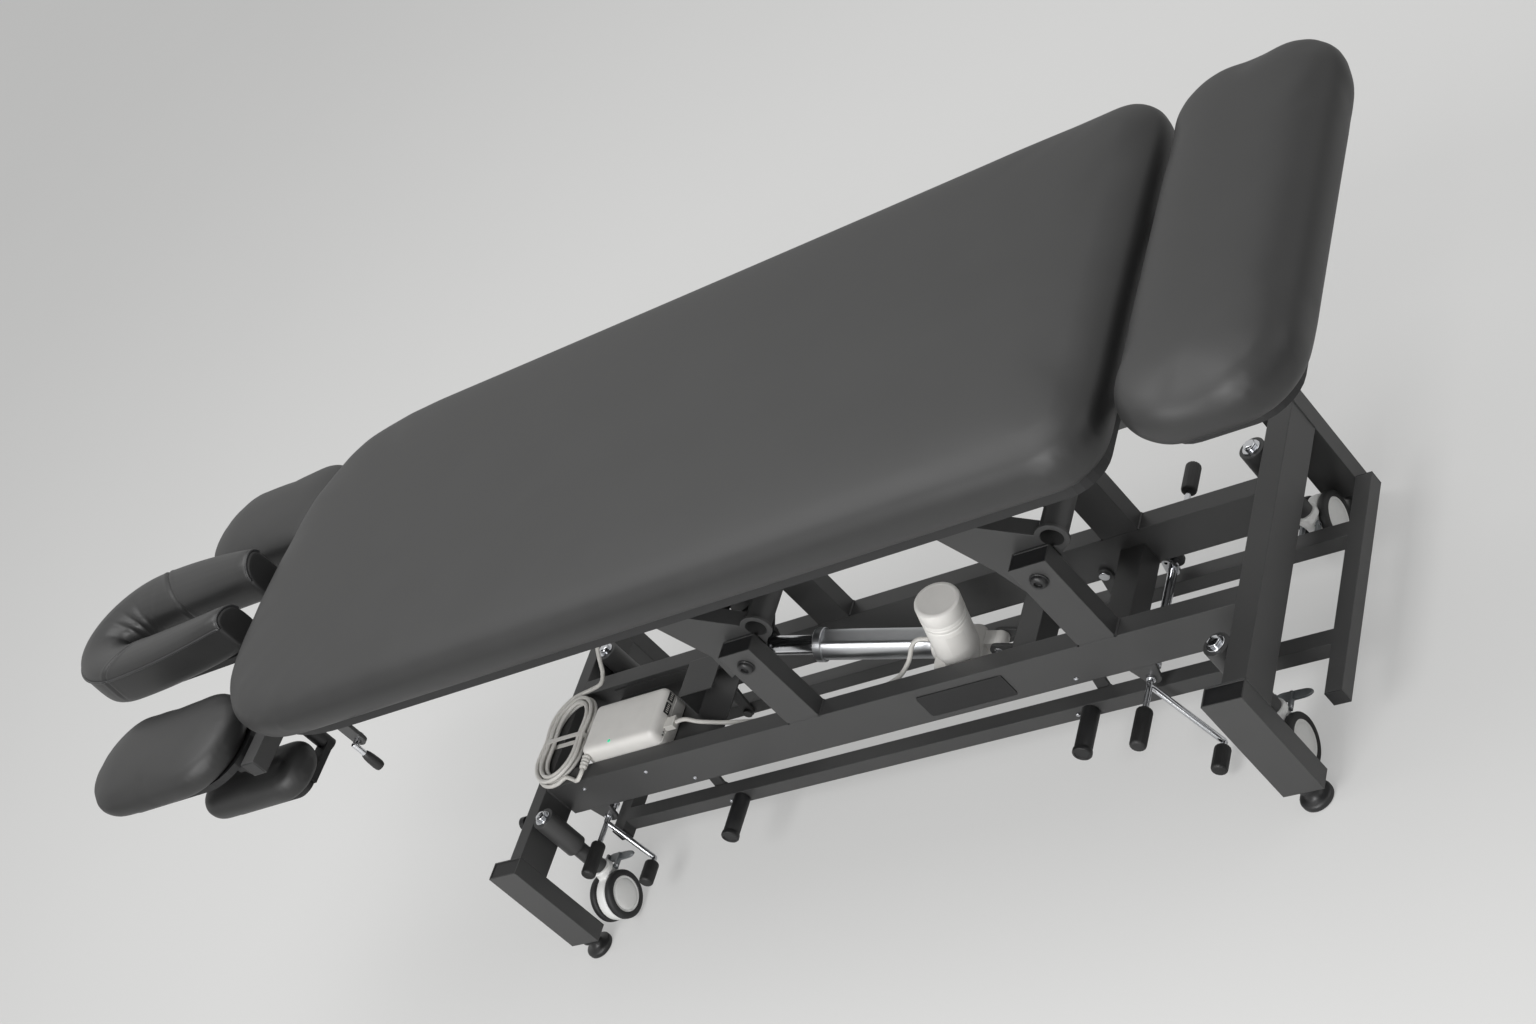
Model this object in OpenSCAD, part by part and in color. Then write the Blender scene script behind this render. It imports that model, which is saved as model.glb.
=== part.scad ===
// Massage table: a low steel base on four legs, two lifting arms driven by a motor,
// a padded top with a drop leg section, a face cradle, arm rests and elbow pads.
// X runs from the head end to the foot end, Y from the near side to the far side, Z is up.
// Pieces are drawn from the head cross tube's inner face, the middle plane and the top
// of the base frame. place() then moves them onto the floor, under the table's middle.

/* [Base frame] */
// Clear length between the two cross tubes
base_l = 1282; // [1100:1:1500]
// Half width over the two side rails
base_half_w = 109; // [100:1:140]
// Width of a side rail
rail_w = 30; // [20:1:36]
// Height of a side rail
rail_h = 70; // [66:1:76]
// Wall of every square tube
wall = 2; // [1.5:0.1:3]
// Width of the head cross tube
head_tube_w = 25; // [20:1:40]
// Width of the foot cross tube
foot_tube_w = 35; // [25:1:50]
// Height of both cross tubes
cross_h = 60; // [50:1:70]
// Width of a leg post along the table
post_w = 60; // [50:1:70]
// Width of a leg post across the table
post_d = 31; // [25:1:40]
// Half width over the leg posts
post_half_w = 270; // [260:1:320]
// Length of a leg post
post_h = 200; // [190:1:240]

/* [Feet and casters] */
// Height of a levelling foot under its post
foot_h = 34; // [25:1:45]
// Diameter of a levelling foot
foot_d = 47; // [36:1:48]
// Caster distance from the middle plane
caster_y = 170; // [164:1:178]
// Diameter of a caster wheel
wheel_d = 80; // [70:1:84]
// Width over the twin wheels
wheel_span = 48; // [40:1:50]
// Trail of the wheel behind the swivel axis
trail = 24; // [15:1:26]
// Gap between the raised wheel and the floor
wheel_lift = 4; // [2:0.5:8]
// Diameter of a caster housing
housing_d = 38; // [34:1:44]
// Diameter of a caster stem
stem_d = 26; // [20:1:30]

/* [Lifting arms] */
// Height of a pivot post above the side rails
pivot_post_h = 165; // [150:1:180]
// Width of a pivot post along the table
pivot_post_w = 60; // [50:1:70]
// Share of the base's length from its middle back to the head arm's pivot
pivot_back_share = 0.072543; // [0.06:0.0001:0.08]
// Share of the base's length between the two arm pivots
pivot_span_share = 0.404836; // [0.395:0.0001:0.415]
// Height of the arm pivots above the side rails
pivot_z = 135; // [120:1:145]
// Diameter of the arm pivot bolts
pivot_d = 16; // [12:1:20]
// Reach of an arm towards the head end
arm_reach = 199; // [180:1:215]
// Rise of an arm from its pivot to the top frame
arm_rise = 225; // [210:1:240]
// Half width over an arm's side plates
arm_half_w = 76; // [74:0.5:77]
// Thickness of an arm's folded sheet
arm_t = 4; // [3:0.5:5]
// Width of the lip folded in along an arm's upper edge
arm_lip = 25; // [15:1:30]
// Diameter of a torsion tube
torsion_d = 40; // [34:1:44]

/* [Actuator] */
// Outer diameter of the actuator tube
act_tube_d = 46; // [42:1:50]
// Diameter of the actuator rod
act_rod_d = 29.5; // [24:0.5:30]
// Length from the tail pin to the tube's mouth
act_tube_l = 285; // [270:1:295]
// Diameter of the motor
motor_d = 68; // [60:1:70]
// Length of the motor
motor_l = 112; // [95:1:120]

/* [Top] */
// Height of the padded top above the side rails
top_z = 512; // [495:1:530]
// Thickness of the padding
pad_t = 85; // [70:1:90]
// Thickness of the boards
board_t = 15; // [12:1:18]
// Length of the main section
main_l = 1653; // [1600:1:1700]
// Half width of the top
top_half_w = 323; // [300:1:340]
// Length of the leg section
leg_l = 240; // [220:1:300]
// Half width of the leg section
leg_half_w = 300; // [280:1:320]
// Gap between the two sections
section_gap = 6; // [5:1:10]
// Head end of the main section ahead of the base
head_over = 228; // [215:1:235]

/* [Head end] */
// Length of the face cradle
cradle_l = 405; // [390:1:430]
// Half width of the face cradle
cradle_half_w = 115; // [112:1:125]
// Width of a cradle arm
cradle_arm_w = 92; // [84:1:96]
// Thickness of the cradle's padding
cradle_t = 78; // [65:1:85]
// Length of an arm pad
arm_pad_l = 345; // [330:1:380]
// Width of an arm pad
arm_pad_w = 190; // [184:1:210]
// Thickness of an arm pad's padding
arm_pad_t = 63; // [50:1:66]
// Length of an elbow pad
elbow_l = 245; // [230:1:260]
// Width of an elbow pad
elbow_w = 107; // [100:1:120]
// Thickness of an elbow pad's padding
elbow_t = 58; // [45:1:60]

/* [Controls] */
// Length of the control box
box_l = 160; // [130:1:165]
// Width of the control box
box_w = 98; // [80:1:110]
// Height of the control box
box_h = 51; // [40:1:56]
// Size of the foot switch frame's square tube
switch_t = 25; // [20:1:30]
// Overrun of the foot switch frame past the base's clear length
switch_over = 95; // [85:1:105]
// Diameter of a lever rod
lever_d = 9; // [7:0.5:11]
// Diameter of a lever grip
grip_d = 24; // [20:1:28]
// Diameter of the cable
cable_d = 7; // [6:0.5:8]
// Number of loops in the cable hank
hank_loops = 5; // [4:1:6]

/* [Hidden] */
$fn = 48;

// Overrun of every cut
over = 1;
// Gap between pieces that lie side by side without a weld
seat = 0.3;
// Radial clearance of a turning pin
turn = 0.05;
// Radial clearance of an open pivot
loose = 1;

// Colours
steel = [0.20, 0.21, 0.22];
black = [0.06, 0.06, 0.07];
chrome = [0.78, 0.78, 0.80];
vinyl = [0.13, 0.13, 0.14];
light = [0.80, 0.79, 0.77];
grey = [0.55, 0.56, 0.57];

// Heights and places that follow from the sizes above
base_z = post_h + foot_h;
rail_in = base_half_w - rail_w;
board_z = top_z - pad_t - board_t;
pad_z = top_z - pad_t;
head_x = -head_over;
main_x1 = head_x + main_l;
leg_x0 = main_x1 + section_gap;
leg_x1 = leg_x0 + leg_l;
cradle_gap = 62;
cradle_x1 = head_x - cradle_gap;
cradle_x0 = cradle_x1 - cradle_l;
mid_x = (leg_x1 + cradle_x0) / 2;
head_pivot_x = base_l * (0.5 - pivot_back_share);
foot_pivot_x = head_pivot_x + base_l * pivot_span_share;
caster_head_x = housing_d / 2;
caster_foot_x = base_l - housing_d / 2;
near_head = [caster_head_x, -1];
near_foot = [caster_foot_x, -1];
far_head = [caster_head_x, 1];
far_foot = [caster_foot_x, 1];
axle_z = -base_z + wheel_lift + wheel_d / 2;

// Small sizes of the base
cap_h = 10;
cap_seat = 0.2;
cap_sink = 1;
foot_disc_h = 12;
foot_stem_d = 12;
knob_d = 22;
knob_h = 10;
knob_y = 157;
knob_z = -14;
member_d = 40;
member_z = -22;
member_dx = 352;
member_x = head_pivot_x + member_dx;
low_member_dx = 17;
low_member_x = foot_pivot_x - low_member_dx;
low_member_z = -28;
bearing_t = 5;
bearing_w = 44;
tray_t = 2;
tray_x0 = 70;
tray_x1 = 345;
tray_z = -28;
tray_side = 20;
cover_z = 22;
cover_y0 = -10;
cover_y1 = 60;
box_gap = 12;
plug_l = 20;
box_x = tray_x0 + box_gap;
box_y = -76;
box_z = tray_z + tray_t;
bolt_d = 18;
bolt_h = 7;
washer_d = 26;
washer_h = 2.5;
screw_d = 7;
screw_h = 2;
screw_back = 10;
dome_d = 26;
dome_h = 9;

// Small sizes of the casters
housing_h = 79;
stem_z1 = -50;
stem_z0 = -139;
fork_top_d = 34;
fork_top_h = 9;
fork_w = 20;
fork_r = 38;
axle_d = 10;
wheel_gap = 0.5;
tyre_r = 4;
hub_d = 62;
hub_h = 1.5;
pedal_t = 5;
pedal_w = 26;
pedal_l = 58;
pedal_pin = 5;
pedal_gap = 3;
pedal_z = -140;

// Small sizes of the switch frame and the levers
switch_x0 = 45;
switch_z = -119;
switch_l = base_l - switch_x0 + switch_over;
switch_in = 80;
head_bar_half = 120;
foot_bar_half = 185;
head_link_x = 277;
foot_link_back = 278;
foot_link_x = base_l - foot_link_back;
link_top_z = -59;
link_lean = 14;
link_low_z = switch_z - switch_t / 2;
link_t = 5;
link_w = 20;
stud_d = 10;
peg_d = 26;
peg_l = 72;
head_peg_x = 314;
foot_peg_back = 312;
peg_xs = [head_peg_x, base_l - foot_peg_back];
shaft_d = 14;
shaft_z = -96;
head_shaft_x = 53;
shaft_dx = 25;
foot_shaft_x = foot_pivot_x + shaft_dx;
shaft_clear = 3;
cam_r = 18;
cam_t = 6;
cam_in = 81;
cam_pin_d = 6;
strip_w = 14;
strip_t = 3;
strip_y = 92;
lever_y = 161;
grip_end = 224;
far_lever_y = 229;
far_grip_end = 282;
head_crank = [52, -74];
foot_crank = [54, -109];
crank_y0 = 150;
crank_y1 = 200;

// Small sizes of the arms, from the arm's pivot
eye_r = 24;
torsion_dx = 37;
torsion_dz = 35;
lug_dx = -68;
lug_dz = -69;
lug_in = 20;
lug_t = 6;
lug_pin_d = 14;
lug_play = 12;
top_pin_d = 20;
top_pin_y = 88;
top_lug_in = 78.5;
top_lug_t = 6;
low_edge_share = [[-0.375, 0.03], [-0.61, 0.50], [-1.09, 0.95]];
fold_share = [[0.10, 0.205], [-0.38, 0.485], [-0.90, 1.07]];
base_edge_share = [[-0.10, -0.15], [-0.30, -0.20]];

// Small sizes of the actuator
tail_dx = 291;
tail_x = head_pivot_x + tail_dx;
tail_z = -59;
tail_pin_d = 12;
tail_eye_r = 12;
tail_w = 24;
clevis_t = 5;
gear_l = 68;
gear_x = 20;
gear_z0 = -28;
gear_z1 = 12;
gear_y0 = -62;
gear_y1 = 26;
mouth_d = 52;
mouth_l = 12;
motor_t = 16;
motor_y = -30;
motor_cap_h = 10;
rod_back = 143;
rod_eye_w = 28;
lug = [head_pivot_x + lug_dx, pivot_z + lug_dz];
act_l = norm([tail_x - lug[0], lug[1] - tail_z]);
act_tilt = atan2(lug[1] - tail_z, tail_x - lug[0]);

// Small sizes of the top frame
frame_w = 30;
frame_h = 40;
frame_in = 125;
frame_fwd = 46;
frame_back = 20;
frame_x0 = head_x + frame_fwd;
frame_x1 = main_x1 - frame_back;
head_bar_l = 290;
sleeve_d = 22;
rod_d = 14;
cradle_rod_y = 50;
cradle_rod_z = 387;
sleeve_back = 208;
sleeve_bar_x = head_x + sleeve_back;
top_tube_back = 68;
hinge_drop = 12;
hinge_pin_d = 12;
hinge_plate_t = 6;
hinge_y = 140;
lever_back = 273;
lever_hang_x = head_x + lever_back;
lever_hang_y = 284;
lever_hang_l = 55;

// Small sizes of the head end
tilt_back = 10;
tilt_x = cradle_x1 - tilt_back;
cradle_board_t = 12;
ear_t = 6;
ear_y = 62;
cradle_pin_d = 12;
wing_x = head_x;
wing_in = 150;
wing_under = 6;
wing_x1 = head_x + wing_under;
ear_in = 76;
ear_out = 76;
wing_rise = 3;
wing_board_t = 12;
elbow_in = 188;
elbow_under = 58;
elbow_x1 = head_x + elbow_under;
elbow_top = 350;
elbow_board_t = 12;
elbow_pin_in = 23;
elbow_pin_x = head_x + elbow_pin_in;
elbow_pin_y = 168;
elbow_pin_d = 16;
elbow_sleeve_d = 26;

// Sizes of the soft forms
pad_corner_r = 80;
leg_corner_r = 85;
wing_round_share = 0.49;
wing_corner_r = arm_pad_w * wing_round_share;
elbow_round_share = 0.46;
elbow_corner_r = elbow_w * elbow_round_share;
head_round_l = 278;
head_power = 3;
pad_inset = 7;
crown = 9;
board_inset = 32;
rest_inset = 28;

// Routes of the cables, chosen by hand: shares of the run along X, then Y and Z
motor_run_shares = [0, 0.03876, 0.0969, 0.22868, 0.42248, 0.65504, 0.81008, 0.89535, 0.94186, 0.96899,
    1];
motor_run = [[-40, 0], [-40, 0], [-46, -9], [-52, -25], [-52, -42], [-50, -40], [-52, -28], [-50, -4],
    [-42, 20], [-38, 25], [-38, 20]];
rise_run_shares = [0, 0.01695, 0.0565, 0.11299, 0.24294, 0.44068, 0.66667, 0.84746, 0.94915, 1];
rise_run = [[76, 37.5], [76, 44], [86, 74], [104, 112], [112, 160], [100, 190], [76, 204], [40, 208], [8,
    212], [0, 219]];
motor_end_dx = 61;
rise_x0 = 84.5;
rise_end_dx = 110;
function along(x0, x1, shares, run) = [for (i = [0:len(run) - 1])
    [x0 + (x1 - x0) * shares[i], run[i][0], run[i][1]]];
motor_route = along(tray_x0 + box_gap + box_l + plug_l, tail_x - motor_end_dx, motor_run_shares, motor_run);
rise_route = along(rise_x0, head_pivot_x - rise_end_dx, rise_run_shares, rise_run);
hank_in = [[92, -100, 14], [92, -107, 14], [86, -114, 10], [74, -113, 5]];
hank_out = [[52, 74, 15], [66, 76, 20], [78, 76, 30], [84, 76, 37]];
hank_mid = [16, -20];
hank_half = [46, 80];
hank_pitch = 9.6;
hank_waist = 0.22;
hank_waist_l = 34;
hank_z = cable_d / 2 + seat;
hank_layer = 9;

module place() translate([-mid_x, 0, base_z]) children();
module facing(side) if (side < 0) children(); else mirror([0, 1, 0]) children();
module rod_x(d, x0, x1) translate([x0, 0, 0]) rotate([0, 90, 0]) cylinder(d = d, h = x1 - x0);
module rod_y(d, y0, y1) translate([0, y0, 0]) rotate([-90, 0, 0]) cylinder(d = d, h = y1 - y0);
module rod_z(d, z0, z1) translate([0, 0, z0]) cylinder(d = d, h = z1 - z0);
// A flat plate drawn in X and Z, from y0 to y0 + t
module plate_y(y0, t) translate([0, y0 + t, 0]) rotate([90, 0, 0]) linear_extrude(t) children();
// A square tube of a given size, open along one axis
module box_tube(size, axis, w = wall) {
    bore = [for (i = [0:2]) i == axis ? size[i] + 2 * over : size[i] - 2 * w];
    corner = [for (i = [0:2]) i == axis ? -over : w];
    difference() {
        cube(size);
        translate(corner) cube(bore);
    }
}

// Smooth soft forms: rings of an outline, moved inwards along its normals and shrunk to its middle
function side_normal(o, i) = let (n = len(o), a = o[(i + n - 1) % n], b = o[(i + 1) % n],
    d = [b[0] - a[0], b[1] - a[1]], l = norm(d)) [d[1] / l, -d[0] / l];
function ring_at(o, c, r) = [for (i = [0:len(o) - 1]) let (p = o[i] - r[0] * side_normal(o, i))
    [c[0] + (p[0] - c[0]) * r[1], c[1] + (p[1] - c[1]) * r[1], r[2]]];
function band_faces(k, n) = [for (j = [0:k - 2], i = [0:n - 1]) let (m = (i + 1) % n)
    each [[j * n + i, (j + 1) * n + i, (j + 1) * n + m], [j * n + i, (j + 1) * n + m, j * n + m]]];
module ring_solid(o, c, rings) {
    n = len(o);
    k = len(rings);
    pts = [for (r = rings) each ring_at(o, c, r)];
    low = len(pts);
    ends = [for (i = [0:n - 1]) let (m = (i + 1) % n)
        each [[low, i, m], [low + 1, (k - 1) * n + m, (k - 1) * n + i]]];
    polyhedron(points = concat(pts, [[c[0], c[1], rings[0][2]], [c[0], c[1], rings[k - 1][2]]]),
        faces = concat(band_faces(k, n), ends));
}
// A cushion with its sides tucked in under it and a crowned top
module cushion(o, c, z0, z1) {
    h = z1 - z0;
    rings = [[pad_inset * 3.6, 1, z0], [pad_inset * 1.6, 1, z0 + h * 0.12],
        [pad_inset * 0.4, 1, z0 + h * 0.28], [0, 1, z0 + h * 0.5],
        [pad_inset * 0.15, 1, z0 + h * 0.66], [pad_inset * 0.7, 1, z0 + h * 0.82],
        [pad_inset * 1.9, 1, z1 - crown], [pad_inset * 2.4, 0.86, z1 - crown * 0.42],
        [pad_inset * 2.4, 0.6, z1 - crown * 0.1], [pad_inset * 2.4, 0.3, z1]];
    ring_solid(o, c, rings);
}
function arc_pts(c, r, a0, a1, n) = [for (i = [0:n]) let (a = a0 + (a1 - a0) * i / n)
    [c[0] + r * cos(a), c[1] + r * sin(a)]];
// A rectangle with rounded corners, counterclockwise
function round_rect(x0, x1, y0, y1, r, n) = concat(
    arc_pts([x1 - r, y0 + r], r, -90, 0, n), arc_pts([x1 - r, y1 - r], r, 0, 90, n),
    arc_pts([x0 + r, y1 - r], r, 90, 180, n), arc_pts([x0 + r, y0 + r], r, 180, 270, n));
function power_half(a) = [pow(abs(cos(a)), 2 / head_power), pow(abs(sin(a)), 2 / head_power)];
// The main section: rounded foot corners and a head end drawn as one full curve
function main_outline(w, x0, x1, r) = concat(
    arc_pts([x1 - r, r - w], r, -90, 0, 7), arc_pts([x1 - r, w - r], r, 0, 90, 7),
    [for (i = [0:30]) let (a = 90 - 6 * i, p = power_half(a))
        [x0 + head_round_l * (1 - p[0]), w * p[1] * sign(sin(a) + 0)]]);

// A tube swept along a list of points
function unit(v) = v / norm(v);
function path_dir(p, i) = unit(p[min(i + 1, len(p) - 1)] - p[max(i - 1, 0)]);
function tube_ring(p, i, r, n) = let (t = path_dir(p, i),
    s = abs(t[2]) > 0.9 ? unit(cross(t, [1, 0, 0])) : unit(cross(t, [0, 0, 1])), u = cross(s, t))
    [for (k = [0:n - 1]) p[i] + r * (cos(360 * k / n) * s + sin(360 * k / n) * u)];
module swept_tube(p, d, n) {
    k = len(p);
    pts = [for (i = [0:k - 1]) each tube_ring(p, i, d / 2, n)];
    ends = [for (i = [1:n - 2]) each [[0, i, i + 1], [(k - 1) * n, (k - 1) * n + i + 1, (k - 1) * n + i]]];
    polyhedron(points = pts, faces = concat(band_faces(k, n), ends));
}
// Points of a smooth curve through a route
function curve_at(p, i, t) = let (n = len(p), a = p[max(i - 1, 0)], b = p[i], c = p[i + 1],
    d = p[min(i + 2, n - 1)]) 0.5 * (2 * b + (c - a) * t + (2 * a - 5 * b + 4 * c - d) * t * t
    + (3 * b - a - 3 * c + d) * t * t * t);
function smooth_route(p, m) = concat([for (i = [0:len(p) - 2], j = [0:m - 1]) curve_at(p, i, j / m)],
    [p[len(p) - 1]]);

// Base frame
module side_rails() color(steel) place()
    for (s = [-1, 1]) facing(s) translate([0, -base_half_w, -rail_h])
        box_tube([base_l, rail_w, rail_h], 0);
module cross_tubes() color(steel) place() {
    half = post_half_w - post_d;
    translate([-head_tube_w, -half, -cross_h]) box_tube([head_tube_w, 2 * half, cross_h], 1);
    translate([base_l, -half, -cross_h]) box_tube([foot_tube_w, 2 * half, cross_h], 1);
}
function post_xs() = [-post_w, base_l + foot_tube_w - post_w];
module leg_posts() color(steel) place()
    for (s = [-1, 1], x = post_xs()) facing(s) translate([x, -post_half_w, -post_h]) {
        difference() {
            cube([post_w, post_d, post_h]);
            translate([wall, wall, foot_disc_h]) cube([post_w - 2 * wall, post_d - 2 * wall, post_h]);
            translate([post_w / 2, post_d / 2, 0]) rod_z(foot_stem_d, -over, foot_disc_h + over);
        }
    }
function pivot_post_xs() = [head_pivot_x - pivot_post_w / 2, foot_pivot_x - pivot_post_w / 2];
module pivot_posts() color(steel) place()
    for (s = [-1, 1], x = pivot_post_xs()) facing(s) difference() {
        translate([x, -base_half_w, 0]) box_tube([pivot_post_w, rail_w, pivot_post_h], 2);
        translate([x + pivot_post_w / 2, 0, pivot_z])
            rod_y(pivot_d + 2 * turn, -base_half_w - over, -rail_in + over);
    }
// Low cross tubes, the actuator's clevis, the control tray and its folded cover
module cross_members() color(steel) place() {
    span = 2 * rail_in;
    translate([low_member_x, -rail_in, low_member_z - member_d]) box_tube([member_d, span, member_d], 1);
    translate([member_x, -rail_in, member_z - member_d]) box_tube([member_d, span, member_d], 1);
    for (y = [-tail_w / 2 - clevis_t - seat, tail_w / 2 + seat]) difference() {
        plate_y(y, clevis_t) union() {
            translate([tail_x, tail_z]) circle(tail_eye_r);
            polygon([[member_x, member_z], [tail_x + 3.6 * tail_eye_r, tail_z + 1.5 * tail_eye_r],
                [tail_x + 2.2 * tail_eye_r, tail_z + 0.2 * tail_eye_r],
                [tail_x + 0.3 * tail_eye_r, tail_z + 0.96 * tail_eye_r],
                [tail_x - 0.3 * tail_eye_r, tail_z - 0.96 * tail_eye_r], [member_x, member_z - member_d]]);
        }
        translate([tail_x, 0, tail_z]) rod_y(tail_pin_d + 2 * turn, y - over, y + clevis_t + over);
    }
    // Bearing plates of the lift pedals' shafts, welded under the rails
    for (s = [-1, 1], x = [head_shaft_x, foot_shaft_x]) facing(s) difference() {
        plate_y(-base_half_w + bearing_t / 2, bearing_t) {
            translate([x, shaft_z]) circle(shaft_d);
            polygon([[x - bearing_w / 2, -rail_h], [x + bearing_w / 2, -rail_h],
                [x + shaft_d, shaft_z], [x - shaft_d, shaft_z]]);
        }
        translate([x, 0, shaft_z]) rod_y(shaft_d + 2 * turn, -base_half_w - over, -rail_in + over);
    }
    translate([tray_x0, -rail_in, tray_z]) cube([tray_x1 - tray_x0, span, tray_t]);
    for (s = [-1, 1]) facing(s) translate([tray_x0, -rail_in, tray_z])
        cube([tray_x1 - tray_x0, tray_t, tray_side]);
    translate([tray_x0 + box_l + 2 * box_gap + plug_l, cover_y0, tray_z])
        cube([tray_t, cover_y1 - cover_y0, cover_z - tray_z]);
    translate([tray_x0 + box_l + 2 * box_gap + plug_l, cover_y0, cover_z - tray_t])
        cube([tray_x1 - tray_x0 - box_l - 2 * box_gap - plug_l, cover_y1 - cover_y0, tray_t]);
}

// Black inserts in the open tube ends and the small clamp knob
module tube_caps() color(black) place() {
    fit = wall + cap_seat;
    for (s = [-1, 1]) facing(s) {
        for (x = post_xs()) translate([x + fit, -post_half_w + fit, -cap_h - cap_sink])
            cube([post_w - 2 * fit, post_d - 2 * fit, cap_h]);
        for (x = pivot_post_xs()) translate([x + fit, -base_half_w + fit, pivot_post_h - cap_h - cap_sink])
            cube([pivot_post_w - 2 * fit, rail_w - 2 * fit, cap_h]);
    }
    translate([0, -knob_y, knob_z]) {
        rod_x(knob_d / 2, -head_tube_w - knob_h, -head_tube_w);
        rod_x(knob_d, -head_tube_w - 2 * knob_h, -head_tube_w - knob_h);
    }
}
// Pivot bolts, caster bolts, rail screws and the studs of the swing links
module bolts() {
    color(black) place() for (s = [-1, 1], x = [head_pivot_x, foot_pivot_x]) facing(s)
        translate([x, 0, pivot_z]) {
            rod_y(pivot_d, -base_half_w, -arm_half_w + arm_t + seat);
            rod_y(dome_d, -base_half_w - dome_h, -base_half_w);
        }
    color(chrome) place() {
        for (s = [-1, 1], x = [caster_head_x, caster_foot_x]) facing(s) translate([x, -caster_y, 0]) {
            rod_z(washer_d, 0, washer_h);
            rod_z(bolt_d, washer_h, washer_h + bolt_h);
        }
        for (p = screw_places) translate([p[0], 0, p[1]])
            rod_y(screw_d, -base_half_w - screw_h, -base_half_w);
        for (s = [-1, 1], x = [head_link_x, foot_link_x]) facing(s) translate([x, 0, link_top_z]) {
            rod_y(stud_d, -rail_in, link_stud_y);
            rod_y(stud_d * 1.6, link_stud_y, link_stud_y + link_t);
        }
        translate([tail_x, 0, tail_z])
            rod_y(tail_pin_d, -tail_w / 2 - clevis_t - seat, tail_w / 2 + clevis_t + seat);
    }
}
screw_places = [[67, -21], [206, -19], [head_link_x, link_top_z], [foot_link_x - screw_back, link_top_z]];
link_y = -rail_in + seat;
link_stud_y = link_y + link_t + seat;
module level_feet() color(black) place()
    for (s = [-1, 1], x = post_xs()) facing(s)
        translate([x + post_w / 2, -post_half_w + post_d / 2, -base_z]) {
            rod_z(foot_d, 0, foot_disc_h);
            rod_z(foot_stem_d * 1.6, foot_disc_h, foot_h - seat);
            rod_z(foot_stem_d - 2 * turn, foot_h - seat, foot_h + foot_disc_h);
        }

// Casters, drawn under the swivel axis of the near side
module at_caster(c) place() facing(c[1]) translate([c[0], -caster_y, 0]) children();
module caster_housings() color(steel)
    for (c = [near_head, near_foot, far_head, far_foot]) at_caster(c) difference() {
        rod_z(housing_d, -housing_h, 0);
        rod_z(stem_d + 4 * turn, -housing_h - over, -wall * 2);
    }
module caster_stem(c) color(steel) at_caster(c) {
    rod_z(stem_d, stem_z0, stem_z1);
    rod_z(pivot_d, stem_z0 - fork_top_h, stem_z0);
}
module caster_fork(c) color(light) at_caster(c) difference() {
    union() {
        rod_z(fork_top_d, stem_z0 - fork_top_h - tyre_r, stem_z0 - seat);
        translate([0, -trail, axle_z]) rod_x(2 * fork_r, -fork_w / 2, fork_w / 2);
        translate([-fork_w / 2, -trail, axle_z]) cube([fork_w, trail + fork_top_d / 2, stem_z0 - fork_top_h - axle_z]);
    }
    rod_z(pivot_d + 2 * turn, stem_z0 - fork_top_h, stem_z0);
    translate([0, -trail, axle_z]) rod_x(axle_d + 2 * turn, -fork_w, fork_w);
    translate([0, fork_top_d / 2 - pedal_pin, axle_z + pedal_drop]) rod_x(pedal_pin + 2 * turn, -fork_w, fork_w);
}
pedal_drop = 31;
// Brake pedal: a pin through the fork and a translucent tread beside it
module caster_pedal(c) color(grey) at_caster(c) translate([0, fork_top_d / 2 - pedal_pin, axle_z + pedal_drop]) {
    rod_x(pedal_pin, -fork_w / 2 - pedal_t, fork_w / 2 + pedal_t);
    for (x = [-fork_w / 2 - seat - pedal_t, fork_w / 2 + seat])
        translate([x, -pedal_pin, -pedal_pin]) cube([pedal_t, pedal_arm_l, 2 * pedal_pin]);
    translate([-fork_w / 2 - pedal_t - seat, pedal_pin + pedal_gap, -pedal_pin])
        cube([pedal_l, pedal_arm_l - 2 * pedal_pin - pedal_gap, pedal_t]);
}
pedal_arm_l = 36;
module caster_wheel(c) color(black) at_caster(c) translate([0, -trail, axle_z]) {
    rod_x(axle_d, -wheel_span / 2, wheel_span / 2);
    for (a = [0, 180]) rotate([0, 0, a]) rotate([0, 90, 0]) rotate_extrude($fn = 64) polygon([
        [0, fork_w / 2 + wheel_gap], [wheel_d / 2 - tyre_r, fork_w / 2 + wheel_gap],
        [wheel_d / 2, fork_w / 2 + wheel_gap + tyre_r], [wheel_d / 2, wheel_span / 2 - tyre_r],
        [wheel_d / 2 - tyre_r, wheel_span / 2], [0, wheel_span / 2]]);
}

// Foot switch frame on its swing links
module switch_frame() color(steel) place() {
    len_x = switch_l - 2 * switch_t;
    for (s = [-1, 1]) facing(s) {
        translate([switch_x0 + switch_t, -switch_in - switch_t, switch_z - switch_t])
            box_tube([len_x, switch_t, switch_t], 0);
        for (x = [head_link_x, foot_link_x]) translate([x - link_lean, 0, link_low_z]) {
            rod_y(stud_d, -switch_in, link_stud_y);
            rod_y(stud_d * 1.6, link_stud_y, link_stud_y + link_t);
        }
    }
    translate([switch_x0, -head_bar_half, switch_z - switch_t])
        box_tube([switch_t, 2 * head_bar_half, switch_t], 1);
    translate([switch_x0 + switch_l - switch_t, -foot_bar_half, switch_z - switch_t])
        box_tube([switch_t, 2 * foot_bar_half, switch_t], 1);
}
module switch_pegs() color(black) place() {
    for (x = peg_xs) translate([x, 0, link_low_z]) {
        rod_y(peg_d, -switch_in - switch_t - peg_l, -switch_in - switch_t);
        rod_y(peg_d * 1.1, -switch_in - switch_t - peg_l - cap_h / 2, -switch_in - switch_t - peg_l);
    }
    for (p = [[switch_x0, head_bar_half], [switch_x0 + switch_l - switch_t, foot_bar_half]], s = [-1, 1])
        facing(s) translate([p[0], -p[1] - tray_t, switch_z - switch_t]) cube([switch_t, tray_t, switch_t]);
}
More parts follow.
